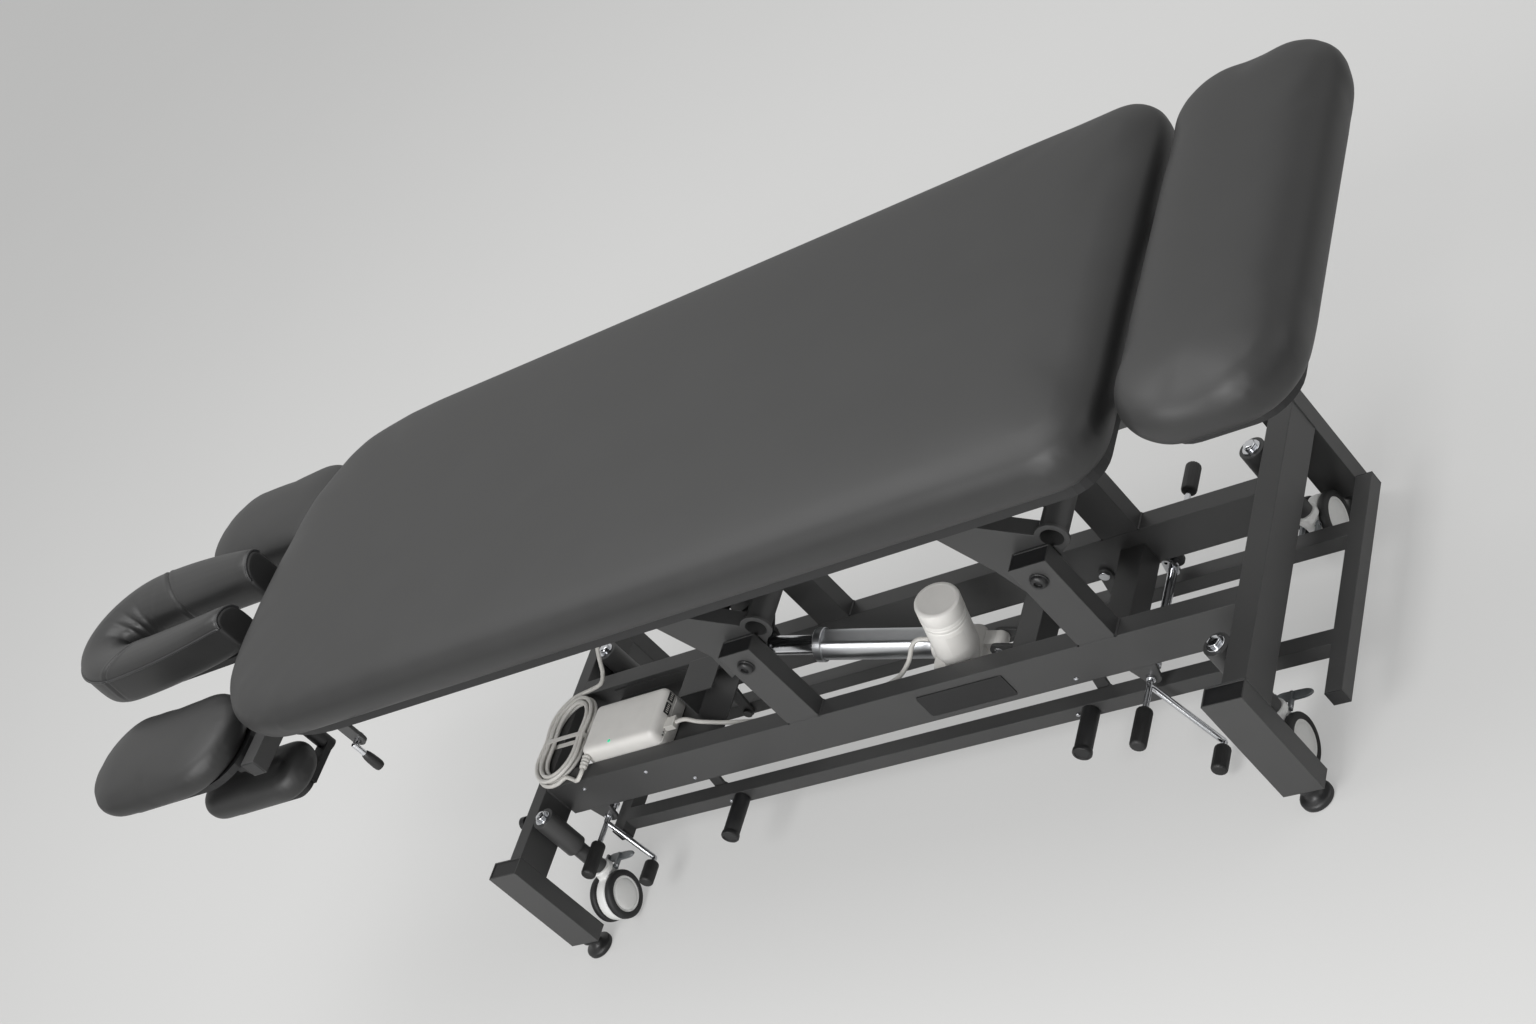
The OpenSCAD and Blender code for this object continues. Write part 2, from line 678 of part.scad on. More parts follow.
module swing_link(x) color(steel) place() for (s = [-1, 1]) facing(s) difference() {
    plate_y(link_y, link_t) {
        translate([x, link_top_z]) circle(link_w / 2);
        translate([x - link_lean, link_low_z]) circle(link_w / 2);
        polygon([[x - link_w / 2, link_top_z], [x + link_w / 2, link_top_z],
            [x - link_lean + link_w / 2, link_low_z], [x - link_lean - link_w / 2, link_low_z]]);
    }
    translate([x, 0, link_top_z]) rod_y(stud_d + 2 * turn, link_y - over, link_y + link_t + over);
    translate([x - link_lean, 0, link_low_z])
        rod_y(stud_d + 2 * (x == head_link_x ? turn : loose), link_y - over, link_y + link_t + over);
}

// Lift pedals: a cross shaft with two cams, a straight lever and a cranked one
module lift_pedal(x, crank, far) color(chrome) place() translate([x, 0, shaft_z]) {
    far_end = far ? far_lever_y : base_half_w + shaft_clear;
    rod_y(shaft_d, -base_half_w - shaft_clear, base_half_w + shaft_clear);
    for (s = [-1, 1]) facing(s) {
        plate_y(-cam_in - cam_t, cam_t) {
            circle(shaft_d / 2 + cam_t / 2);
            translate([0, cam_r]) circle(cam_pin_d);
            polygon([[-cam_pin_d, 0], [cam_pin_d, 0], [cam_pin_d, cam_r], [-cam_pin_d, cam_r]]);
        }
        translate([0, 0, cam_r]) rod_y(cam_pin_d, -strip_y - strip_t - seat, -cam_in);
    }
    rod_y(lever_d, -lever_y - over, -base_half_w);
    color(black) rod_y(grip_d, -grip_end, -lever_y);
    if (far) {
        rod_y(lever_d, base_half_w, far_end + over);
        color(black) rod_y(grip_d, far_end, far_grip_end);
    }
    // The cranked lever runs out past the rail, down and on to its grip
    run = [0, -base_half_w - shaft_clear - lever_d, 0];
    low = [crank[0], -crank_y0, crank[1]];
    l = norm(low - run);
    translate(run) rotate([0, acos((low[2] - run[2]) / l), atan2(low[1] - run[1], low[0] - run[0])])
        cylinder(d = lever_d, h = l);
    translate(low) sphere(d = lever_d * 1.3);
    translate([crank[0], 0, crank[1]]) rod_y(lever_d, -crank_y0 - 2 * lever_d, -crank_y0);
    color(black) translate([crank[0], 0, crank[1]]) rod_y(grip_d, -crank_y1, -crank_y0 - lever_d);
}
module link_strips() color(steel) place() for (s = [-1, 1]) facing(s) difference() {
    hole_z = shaft_z + cam_r;
    translate([head_shaft_x - strip_w, -strip_y - strip_t, hole_z - strip_w / 2])
        cube([foot_shaft_x - head_shaft_x + 2 * strip_w, strip_t, strip_w]);
    for (x = [head_shaft_x, foot_shaft_x]) translate([x, 0, hole_z])
        rod_y(cam_pin_d + 2 * loose, -strip_y - strip_t - over, -strip_y + over);
}

// Lifting arms: two side plates, a folded web, inward lips and a torsion tube
function arm_pts(shares) = [for (p = shares) [p[0] * arm_reach, p[1] * arm_rise]];
module arm_side_2d(low) {
    circle(eye_r);
    translate([-arm_reach, arm_rise]) circle(eye_r);
    translate([torsion_dx, torsion_dz]) circle(torsion_d / 2 + arm_t);
    edge = arm_pts(low_edge_share);
    fold = arm_pts(fold_share);
    polygon(concat(low, edge, [fold[2], fold[1], fold[0]],
        [[torsion_dx + torsion_d / 4, torsion_dz + torsion_d / 2],
        [torsion_dx + torsion_d / 2, torsion_dz - torsion_d / 4], [0, -eye_r]]));
}
module edge_band_2d(pts, t) polygon(concat(pts, [for (i = [len(pts) - 1:-1:0]) pts[i] + t]));
module lift_arm(x, low, has_lug) color(steel) place() translate([x, 0, pivot_z]) difference() {
    union() {
        for (y = [-arm_half_w, arm_half_w - arm_t]) plate_y(y, arm_t) arm_side_2d(low);
        plate_y(-arm_half_w + arm_t / 2, 2 * arm_half_w - arm_t)
            edge_band_2d([for (i = [0:1]) arm_pts(low_edge_share)[i], arm_web_top], [arm_t, 0]);
        for (y = [-arm_half_w + arm_t / 2, arm_half_w - arm_t / 2 - arm_lip]) plate_y(y, arm_lip)
            edge_band_2d(arm_pts(fold_share), [-arm_t, -arm_t / 2]);
        translate([torsion_dx, 0, torsion_dz]) rod_y(torsion_d, -arm_half_w + arm_t / 2, arm_half_w - arm_t / 2);
        translate([-arm_reach, 0, arm_rise]) rod_y(top_pin_d, -top_pin_y, top_pin_y);
        if (has_lug) for (y = [-lug_in - lug_t, lug_in]) plate_y(y, lug_t) {
            translate([lug_dx, lug_dz]) circle(eye_r);
            polygon([[lug_dx - eye_r, lug_dz], [lug_dx, lug_dz - eye_r], [torsion_dx, torsion_dz - lug_t],
                [torsion_dx - torsion_d / 4, torsion_dz + lug_t], arm_pts(low_edge_share)[0]]);
        }
    }
    rod_y(pivot_d + 2 * turn, -arm_half_w - over, -arm_half_w + arm_t + over);
    rod_y(pivot_d + 2 * turn, arm_half_w - arm_t - over, arm_half_w + over);
    translate([torsion_dx, 0, torsion_dz]) rod_y(torsion_d - 4 * wall, -arm_half_w - over, arm_half_w + over);
    if (has_lug) translate([lug_dx - lug_t / 2, 0, lug_dz - lug_t / 2])
        rod_y(lug_pin_d + 2 * lug_play, -lug_in - lug_t - over, lug_in + lug_t + over);
}
arm_web_top = [-0.95 * arm_reach, 0.82 * arm_rise];
head_low = [[-eye_r, -eye_r * 0.9], [lug_dx - eye_r * 0.4, lug_dz + eye_r]];
foot_low = [for (p = base_edge_share) [p[0] * arm_reach, p[1] * arm_rise]];

// Actuator, drawn along the line from its tail pin to the arm's lug
module at_tail() place() translate([tail_x, 0, tail_z]) rotate([0, 180 + act_tilt, 0])
    mirror([0, 0, 1]) children();
module actuator_tube() color(grey) at_tail() difference() {
    union() {
        rod_x(act_tube_d, gear_x + gear_l - over, act_tube_l);
        rod_x(mouth_d, act_tube_l - mouth_l, act_tube_l);
        translate([gear_x, gear_y0, gear_z0]) cube([gear_l, gear_y1 - gear_y0, gear_z1 - gear_z0]);
        translate([0, -tail_w / 2, -tail_eye_r]) cube([gear_x + over, tail_w, 2 * tail_eye_r]);
        rod_y(2 * tail_eye_r, -tail_w / 2, tail_w / 2);
    }
    rod_y(tail_pin_d + 2 * turn, -tail_w, tail_w);
    rod_x(act_rod_d + 2 * turn, gear_x + gear_l / 2, act_tube_l + over);
}
module actuator_motor() color(light) at_tail() translate([motor_d / 2 + motor_t, motor_y, 0]) {
    rod_z(motor_d, gear_z1 + over / 2, gear_z1 + motor_l);
    rod_z(motor_d * 0.8, gear_z1 + motor_l, gear_z1 + motor_l + motor_cap_h);
}
module actuator_rod() color(chrome) at_tail() {
    rod_x(act_rod_d, rod_back, act_l - eye_r * 0.6);
    translate([act_l, 0, 0]) {
        rod_y(1.3 * eye_r, -rod_eye_w / 2, rod_eye_w / 2);
        translate([-eye_r, -rod_eye_w / 2, -rod_eye_w / 2]) cube([eye_r, rod_eye_w, rod_eye_w]);
        rod_y(lug_pin_d, -lug_in - lug_t - 3 * over - arm_t, lug_in + lug_t + 3 * over + arm_t);
        for (s = [-1, 1]) facing(s)
            rod_y(2 * eye_r - lug_t, -lug_in - lug_t - over - arm_t, -lug_in - lug_t - over);
    }
}

// Top frame: two long rails, cross tubes, arm lugs, leg hinge plates, cradle sleeves
module top_frame() color(steel) place() {
    z0 = board_z - frame_h;
    for (s = [-1, 1]) facing(s) translate([frame_x0, -frame_in - frame_w, z0])
        box_tube([frame_x1 - frame_x0 - frame_w, frame_w, frame_h], 0);
    for (x = [head_pivot_x - arm_reach - top_tube_back, foot_pivot_x - arm_reach - top_tube_back, sleeve_bar_x])
        translate([x, -frame_in, z0]) box_tube([frame_w + (x == sleeve_bar_x ? 0 : frame_w / 3), 2 * frame_in, frame_h], 1);
    translate([frame_x1 - frame_w, -frame_in - frame_w, z0])
        box_tube([frame_w, 2 * (frame_in + frame_w), frame_h], 1);
    difference() {
        translate([frame_x0 - frame_w, -head_bar_l, z0]) box_tube([frame_w, 2 * head_bar_l, frame_w], 1);
        for (y = [-cradle_rod_y, cradle_rod_y]) translate([0, y, cradle_rod_z])
            rod_x(sleeve_d, frame_x0 - frame_w - over, frame_x0 + over);
    }
    for (y = [-cradle_rod_y, cradle_rod_y]) translate([0, y, cradle_rod_z]) difference() {
        rod_x(sleeve_d, frame_x0 - frame_w, sleeve_bar_x);
        rod_x(rod_d + 2 * turn, frame_x0 - frame_w - over, sleeve_bar_x + over);
    }
    // Lugs of the two arms
    for (x = [head_pivot_x - arm_reach, foot_pivot_x - arm_reach], s = [-1, 1]) facing(s) difference() {
        plate_y(-top_lug_in - top_lug_t, top_lug_t) {
            translate([x, pivot_z + arm_rise]) circle(eye_r);
            polygon([[x - top_tube_back + frame_w, z0], [x, pivot_z + arm_rise - eye_r],
                [x + eye_r, pivot_z + arm_rise], [x + eye_r * 0.6, board_z], [x - top_tube_back + frame_w, board_z]]);
        }
        translate([x, 0, pivot_z + arm_rise])
            rod_y(top_pin_d + 2 * (x < foot_pivot_x - arm_reach ? turn : loose),
                -top_lug_in - top_lug_t - over, -top_lug_in + over);
    }
    // Hinge plates of the leg section
    for (s = [-1, 1]) facing(s) difference() {
        plate_y(-hinge_y - hinge_plate_t, hinge_plate_t) {
            translate([hinge_x, hinge_z]) circle(hinge_pin_d);
            polygon([[frame_x1, z0 + hinge_drop], [hinge_x, hinge_z - hinge_pin_d],
                [hinge_x, hinge_z + hinge_pin_d - over], [frame_x1, board_z - over]]);
        }
        translate([hinge_x, 0, hinge_z])
            rod_y(hinge_pin_d + 2 * turn, -hinge_y - hinge_plate_t - over, -hinge_y + over);
    }
    // Ears that carry the arm rests, and the pins of the elbow pads
    for (s = [-1, 1], y = wing_ear_ys) facing(s) translate([0, -y, 0]) {
        plate_y(-ear_t, ear_t) difference() {
            union() {
                translate([wing_x, wing_z]) circle(cradle_pin_d);
                translate([wing_x, wing_z - cradle_pin_d]) square([frame_x0 - frame_w - wing_x, 2 * cradle_pin_d]);
            }
            translate([wing_x, wing_z]) circle(d = cradle_pin_d + 2 * turn);
        }
    }
    for (s = [-1, 1]) facing(s) translate([elbow_pin_x, -elbow_pin_y, 0]) {
        rod_z(elbow_pin_d, elbow_z0 - tray_t - seat, z0);
        rod_z(elbow_sleeve_d, elbow_z0 - tray_t - seat, elbow_z0 - seat);
    }
    // Bracket of the head lever
    translate([lever_hang_x, 0, lever_z]) plate_y(-lever_hang_y - ear_t, ear_t) difference() {
        union() {
            circle(hinge_pin_d);
            translate([-hinge_pin_d, 0]) square([2 * hinge_pin_d, board_z - lever_z]);
        }
        circle(d = stud_d + 2 * turn);
    }
}
hinge_x = main_x1 + section_gap / 2;
hinge_z = board_z - hinge_drop;
wing_z = board_z - frame_h + wing_rise;
wing_ear_ys = [wing_in + ear_in, wing_in + arm_pad_w - ear_out];
lever_drop = 32;
lever_z = board_z - lever_drop;

module main_board() color([0.45, 0.36, 0.26]) place() translate([0, 0, board_z]) linear_extrude(board_t)
    polygon(main_outline(top_half_w - board_inset, head_x + board_inset, main_x1 - board_inset,
        pad_corner_r - board_inset));
module main_pad() color(vinyl) place() cushion(
    main_outline(top_half_w, head_x, main_x1, pad_corner_r), [(head_x + main_x1) / 2, 0], pad_z, top_z);
module leg_frame() color(steel) place() {
    for (s = [-1, 1]) facing(s) {
        translate([leg_x0 + leg_rail_back, -hinge_y - hinge_plate_t - leg_rail_out - leg_rail_w, board_z - leg_rail_w])
            box_tube([leg_l - leg_rail_back - leg_rail_end, leg_rail_w, leg_rail_w], 0);
        plate_y(-hinge_y - 2 * hinge_plate_t - leg_rail_out, hinge_plate_t) {
            translate([hinge_x, hinge_z]) circle(hinge_pin_d);
            polygon([[hinge_x, hinge_z - hinge_pin_d], [leg_x0 + 2 * leg_rail_back, board_z - leg_rail_w],
                [leg_x0 + 2 * leg_rail_back, board_z], [hinge_x, hinge_z + hinge_pin_d - over]]);
        }
        translate([hinge_x, 0, hinge_z])
            rod_y(hinge_pin_d, -hinge_y - 2 * hinge_plate_t - leg_rail_out, -hinge_y + hinge_plate_t);
    }
    for (x = [leg_x0 + leg_rail_back * 3, leg_x1 - leg_rail_end - leg_rail_w])
        translate([x, -hinge_y - hinge_plate_t - leg_rail_out, board_z - leg_rail_w])
            box_tube([leg_rail_w, 2 * (hinge_y + hinge_plate_t + leg_rail_out), leg_rail_w], 1);
}
leg_rail_back = 24;
leg_rail_end = 66;
leg_rail_w = 24;
leg_rail_out = 2;
module leg_board() color([0.45, 0.36, 0.26]) place() translate([0, 0, board_z]) linear_extrude(board_t)
    polygon(round_rect(leg_x0 + board_inset, leg_x1 - board_inset, board_inset - leg_half_w,
        leg_half_w - board_inset, leg_corner_r - board_inset, 7));
module leg_pad() color(vinyl) place() cushion(
    round_rect(leg_x0, leg_x1, -leg_half_w, leg_half_w, leg_corner_r, 9),
    [(leg_x0 + leg_x1) / 2, 0], pad_z, top_z);

// Face cradle: two sliding rods, a tilting board and a horseshoe cushion
cradle_arm_y = cradle_half_w - cradle_arm_w / 2;
cradle_rise = 48;
cradle_bend_share = 1.6;
cradle_bend_x = cradle_x0 + cradle_arm_w / 2 + cradle_arm_y * cradle_bend_share;
cradle_pad_z = cradle_rod_z + cradle_rise + cradle_board_t;
module cradle_rods() color(chrome) place() translate([0, 0, cradle_rod_z]) difference() {
    union() {
        for (y = [-cradle_rod_y, cradle_rod_y]) translate([0, y, 0])
            rod_x(rod_d, tilt_x, sleeve_bar_x - frame_h);
        translate([tilt_x, 0, 0]) rod_y(sleeve_d, -ear_y + over, ear_y - over);
    }
    translate([tilt_x, 0, 0]) rod_y(cradle_pin_d + 2 * turn, -ear_y, ear_y);
}
module bend_oval(r) translate([cradle_bend_x, 0])
    scale([(r + cradle_arm_y * (cradle_bend_share - 1)) / r, 1]) circle(r, $fn = 96);
module horseshoe_2d(w) difference() {
    union() {
        bend_oval(cradle_arm_y + w / 2);
        translate([cradle_bend_x, -cradle_arm_y - w / 2])
            square([cradle_x1 - cradle_bend_x, 2 * cradle_arm_y + w]);
    }
    bend_oval(cradle_arm_y - w / 2);
    translate([cradle_bend_x, w / 2 - cradle_arm_y])
        square([cradle_l, 2 * cradle_arm_y - w]);
}
module cradle_plate() color(black) place() {
    translate([0, 0, cradle_pad_z - cradle_board_t]) linear_extrude(cradle_board_t)
        horseshoe_2d(cradle_arm_w - 2 * rest_inset);
    for (s = [-1, 1]) facing(s) plate_y(-ear_y - ear_t, ear_t) {
        translate([tilt_x, cradle_rod_z]) circle(cradle_pin_d);
        translate([tilt_x - cradle_pin_d, cradle_rod_z])
            square([2 * cradle_pin_d - over, cradle_pad_z - cradle_board_t - cradle_rod_z + over]);
    }
    translate([tilt_x, 0, cradle_rod_z]) rod_y(cradle_pin_d, -ear_y - ear_t, ear_y + ear_t);
}
// Middle line of the horseshoe, from the near arm's end round the bend to the far arm's end
function horseshoe_line(n) = concat(
    [for (i = [0:n]) [cradle_x1 - cradle_end_r - (cradle_x1 - cradle_end_r - cradle_bend_x) * i / n, -cradle_arm_y]],
    [for (i = [1:2 * n - 1]) let (a = 270 - 90 * i / n)
        [cradle_bend_x + cradle_arm_y * cradle_bend_share * cos(a), cradle_arm_y * sin(a)]],
    [for (i = [n:-1:0]) [cradle_x1 - cradle_end_r - (cradle_x1 - cradle_end_r - cradle_bend_x) * i / n, cradle_arm_y]]);
cradle_end_r = 26;
cradle_section_shares = [[-0.44, 0], [-0.49, 0.2], [-0.5, 0.5], [-0.47, 0.72], [-0.38, 0.88], [-0.22, 0.97],
    [0, 1], [0.22, 0.97], [0.38, 0.88], [0.47, 0.72], [0.5, 0.5], [0.49, 0.2], [0.44, 0]];
module cradle_pad() color(vinyl) place() {
    line = horseshoe_line(8);
    n = len(line);
    dirs = [for (i = [0:n - 1]) unit(line[min(i + 1, n - 1)] - line[max(i - 1, 0)])];
    // Each arm's end closes over three shrinking sections
    back = [[1, 0.62], [0.72, 0.88], [0.36, 0.97]];
    stations = concat(
        [for (b = back) [line[0] - dirs[0] * b[0] * cradle_end_r, dirs[0], b[1]]],
        [for (i = [0:n - 1]) [line[i], dirs[i], 1]],
        [for (j = [2:-1:0]) [line[n - 1] + dirs[n - 1] * back[j][0] * cradle_end_r, dirs[n - 1], back[j][1]]]);
    m = len(cradle_section_shares);
    k = len(stations);
    pts = [for (s = stations, c = cradle_section_shares) let (w = c[0] * cradle_arm_w * s[2])
        [s[0][0] - s[1][1] * w, s[0][1] + s[1][0] * w,
            cradle_pad_z + c[1] * cradle_t * (0.55 + 0.45 * s[2])]];
    ends = [for (i = [1:m - 2]) each [[0, i + 1, i], [(k - 1) * m, (k - 1) * m + i, (k - 1) * m + i + 1]]];
    bands = [for (f = band_faces(k, m)) [f[0], f[2], f[1]]];
    polyhedron(points = pts, faces = concat(bands, ends));
}

// Arm rests beside the cradle and elbow pads below them
wing_x0 = wing_x1 - arm_pad_l;
wing_board_z = wing_z + cradle_pin_d + over;
module arm_frame(side) color(black) place() facing(side) {
    translate([0, 0, wing_board_z]) linear_extrude(wing_board_t) polygon(round_rect(
        wing_x0 + rest_inset, wing_x, -wing_in - arm_pad_w + rest_inset,
        -wing_in - rest_inset, wing_corner_r - rest_inset, 6));
    for (y = wing_ear_ys) translate([0, -y, 0]) plate_y(-2 * ear_t - seat, ear_t) {
        translate([wing_x, wing_z]) circle(cradle_pin_d);
        translate([wing_x - 2 * cradle_pin_d, wing_z])
            square([2 * cradle_pin_d, wing_board_z - wing_z + over]);
    }
    for (y = wing_ear_ys) translate([wing_x, -y, wing_z]) rod_y(cradle_pin_d, -2 * ear_t, over);
}
module arm_pad(side) color(vinyl) place() facing(side) cushion(
    round_rect(wing_x0, wing_x1, -wing_in - arm_pad_w, -wing_in, wing_corner_r, 9),
    [(wing_x0 + wing_x1) / 2, -wing_in - arm_pad_w / 2],
    wing_board_z + wing_board_t, wing_board_z + wing_board_t + arm_pad_t);
elbow_x0 = elbow_x1 - elbow_l;
elbow_z0 = elbow_top - elbow_t - elbow_board_t;
module elbow_frame(side) color(black) place() facing(side) {
    translate([0, 0, elbow_z0]) linear_extrude(elbow_board_t) polygon(round_rect(
        elbow_x0 + rest_inset, elbow_x1 - rest_inset, -elbow_in - elbow_w + rest_inset,
        -elbow_in - rest_inset, elbow_corner_r - rest_inset, 6));
    difference() {
        union() {
            translate([elbow_pin_x, -elbow_pin_y, 0]) rod_z(elbow_sleeve_d, elbow_z0, elbow_top);
            translate([elbow_pin_x - elbow_sleeve_d / 2, -elbow_in - 2 * rest_inset, elbow_z0])
                cube([elbow_sleeve_d, elbow_in + 2 * rest_inset - elbow_pin_y, elbow_board_t]);
        }
        translate([elbow_pin_x, -elbow_pin_y, 0])
            rod_z(elbow_pin_d + 2 * turn, elbow_z0 - over, elbow_top + over);
    }
}
module elbow_pad(side) color(vinyl) place() facing(side) cushion(
    round_rect(elbow_x0, elbow_x1, -elbow_in - elbow_w, -elbow_in, elbow_corner_r, 9),
    [(elbow_x0 + elbow_x1) / 2, -elbow_in - elbow_w / 2], elbow_top - elbow_t, elbow_top);
module head_lever() color(chrome) place() translate([lever_hang_x, 0, lever_z]) {
    rod_y(stud_d, -lever_hang_y - 2 * ear_t - lever_d / 2, -lever_hang_y + ear_t);
    translate([0, -lever_hang_y - 2 * ear_t - lever_d / 2, 0]) {
        rod_z(lever_d, -lever_hang_l, lever_d / 2);
        color(black) rod_z(grip_d * 0.7, -lever_hang_l, -lever_hang_l * 0.35);
    }
}

// Control box with its rounded upright edges
module control_box() color(light) place() translate([box_x, box_y, box_z + seat])
    linear_extrude(box_h) union() {
        translate([box_edge_r, 0]) square([box_l - 2 * box_edge_r, box_w]);
        translate([0, box_edge_r]) square([box_l, box_w - 2 * box_edge_r]);
        for (x = [box_edge_r, box_l - box_edge_r], y = [box_edge_r, box_w - box_edge_r])
            translate([x, y]) circle(box_edge_r);
    }
box_edge_r = 9;
// Ribbed strain relief on the box's near head corner and the motor cable's plug
module control_plugs() color(light) place() {
    translate([hank_in[0][0], box_y - relief_l, hank_in[0][2]]) {
        rod_y(relief_d * 0.7, 0, relief_l);
        for (i = [0:3]) rod_y(relief_d, relief_l * (0.12 + 0.24 * i), relief_l * (0.24 + 0.24 * i));
    }
    translate([box_x + box_l, motor_route[0][1], motor_route[0][2]])
        translate([0, -plug_l / 2, -plug_l / 4]) cube([plug_l - seat, plug_l, plug_l / 2]);
}
relief_l = -hank_in[0][1] + box_y;
relief_d = 13;

// Cables
module motor_cable() color(light) place() swept_tube(smooth_route(motor_route, 7), cable_d, 8);
module cable_rise() color(light) place() swept_tube(smooth_route(rise_route, 7), cable_d, 8);
// The hank winds inwards on its lower layer, climbs in the half turn where it turns back,
// and winds outwards again on its upper layer
hank_a0 = -60;
hank_a1 = 80;
hank_turns = hank_loops - 1 + (360 + hank_a0 - hank_a1) / 360;
hank_steps = 24;
function hank_off(t) = let (h = hank_turns / 2) hank_pitch * (t < h ? h - t : t - h);
function hank_rise(t) = let (h = hank_turns / 2) hank_layer * max(0, min(1, (t - h + 0.25) / 0.5));
function hank_pt(t) = let (a = hank_a0 - 360 * t, o = hank_off(t), y = sin(a) * (hank_half[1] - hank_pitch + o * 0.9),
    w = 1 - hank_waist * exp(-pow(y / hank_waist_l, 2)), x = cos(a) * (hank_half[0] - hank_pitch + o) * w)
    [hank_mid[0] + x, hank_mid[1] + y, hank_z + hank_rise(t)];
hank_pts = concat(hank_in, [for (i = [0:hank_turns * hank_steps]) hank_pt(i / hank_steps)], hank_out);
hank_gap = min([for (i = [0:len(hank_pts) - 1], j = [i + 12:1:len(hank_pts) - 1]) norm(hank_pts[i] - hank_pts[j])])
    - cable_d;
echo(hank_gap = hank_gap);
module cable_hank() color(light) place() swept_tube(hank_pts, cable_d, 6);

side_rails();
cross_tubes();
leg_posts();
pivot_posts();
cross_members();
tube_caps();
bolts();
level_feet();
caster_housings();
control_box();
control_plugs();
motor_cable();
cable_hank();
cable_rise();
caster_stem(near_head);  // near_head_stem
caster_fork(near_head);  // near_head_fork
caster_pedal(near_head);  // near_head_pedal
caster_wheel(near_head);  // near_head_wheel
caster_stem(near_foot);  // near_foot_stem
caster_fork(near_foot);  // near_foot_fork
caster_pedal(near_foot);  // near_foot_pedal
caster_wheel(near_foot);  // near_foot_wheel
caster_stem(far_head);  // far_head_stem
caster_fork(far_head);  // far_head_fork
caster_pedal(far_head);  // far_head_pedal
caster_wheel(far_head);  // far_head_wheel
caster_stem(far_foot);  // far_foot_stem
caster_fork(far_foot);  // far_foot_fork
caster_pedal(far_foot);  // far_foot_pedal
caster_wheel(far_foot);  // far_foot_wheel
switch_frame();
switch_pegs();
swing_link(head_link_x);  // head_links
swing_link(foot_link_x);  // foot_links
lift_pedal(head_shaft_x, head_crank, false);  // head_pedal
lift_pedal(foot_shaft_x, foot_crank, true);  // foot_pedal
link_strips();
lift_arm(head_pivot_x, head_low, true);  // head_arm
lift_arm(foot_pivot_x, foot_low, false);  // foot_arm
actuator_tube();
actuator_motor();
actuator_rod();
top_frame();
main_board();
main_pad();
leg_frame();
leg_board();
leg_pad();
cradle_rods();
cradle_plate();
cradle_pad();
arm_frame(-1);  // near_arm_frame
arm_pad(-1);  // near_arm_pad
arm_frame(1);  // far_arm_frame
arm_pad(1);  // far_arm_pad
elbow_frame(-1);  // near_elbow_frame
elbow_pad(-1);  // near_elbow_pad
elbow_frame(1);  // far_elbow_frame
elbow_pad(1);  // far_elbow_pad
head_lever();
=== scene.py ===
"""Massage table, dressed: upholstered pads, painted steel base, casters, lift motor, controls and cables.
Lengths in this file are millimetres in the maker's drawing, and at() moves them onto the floor in metres."""
import math

import bmesh
import bpy
import numpy as np
from bpy.props import FloatProperty, FloatVectorProperty, IntProperty, PointerProperty
from mathutils import Matrix, Vector


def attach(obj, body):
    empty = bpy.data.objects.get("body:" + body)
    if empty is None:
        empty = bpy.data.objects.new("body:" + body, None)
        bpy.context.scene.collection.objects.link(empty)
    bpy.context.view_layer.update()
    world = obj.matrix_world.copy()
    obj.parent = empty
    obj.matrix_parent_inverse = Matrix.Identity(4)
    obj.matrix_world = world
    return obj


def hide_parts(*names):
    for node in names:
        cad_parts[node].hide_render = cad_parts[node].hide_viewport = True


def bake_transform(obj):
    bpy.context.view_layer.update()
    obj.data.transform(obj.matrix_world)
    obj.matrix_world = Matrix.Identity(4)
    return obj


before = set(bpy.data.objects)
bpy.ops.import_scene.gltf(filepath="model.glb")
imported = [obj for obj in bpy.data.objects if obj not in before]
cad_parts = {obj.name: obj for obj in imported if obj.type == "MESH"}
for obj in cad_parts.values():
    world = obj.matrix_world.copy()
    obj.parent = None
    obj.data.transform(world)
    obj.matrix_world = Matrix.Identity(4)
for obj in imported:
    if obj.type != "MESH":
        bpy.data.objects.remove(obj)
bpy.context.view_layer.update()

bl_info = {
    "name": "Massage Table",
    "version": (1, 0, 0),
    "blender": (4, 5, 0),
    "location": "3D View > Sidebar > Massage Table",
    "description": "Dresses the packed massage table: upholstery, paint, casters, controls and cables",
    "category": "Add Mesh",
}

# The table's middle along its length, and how far the floor lies below the drawing's zero
MID_X, FLOOR = 488.0, 234.0
# Lower pivots of the two lift arms
HEAD_PIVOT, FOOT_PIVOT, PIVOT_Z = 548.0, 1067.0, 135.0
# Pins at the actuator's two ends
TAIL, LUG = np.array([839.0, 0.0, -59.0]), np.array([480.0, 0.0, 66.0])
# Each caster's place along the table, and its side
CASTERS = {"near_head": (19.0, -1), "near_foot": (1263.0, -1), "far_head": (19.0, 1), "far_foot": (1263.0, 1)}
CASTER_Y, AXLE_Z, TRAIL = 170.0, -190.0, 24.0
# Heights of the lift pedals' shafts and of the pegs, and the place of the head section's lever
PEDAL_Z, PEG_Z = -96.0, -131.5
LEVER_X, LEVER_Y = 45.0, -300.5
# Share of the floor's own tone in what the camera sees of it
FLAT_SHARE = 0.5


def linear(code):
    """An sRGB hex colour as linear red, green, blue and alpha."""
    c = np.array([int(code[i:i + 2], 16) for i in (1, 3, 5)]) / 255
    c = np.where(c <= 0.04045, c / 12.92, ((c + 0.055) / 1.055) ** 2.4)
    return (*[float(v) for v in c], 1.0)


def colour(name, code, words):
    """A colour setting shown in the sidebar."""
    return FloatVectorProperty(name=name, description=words, subtype="COLOR", size=3, min=0, max=1,
                               default=linear(code)[:3])


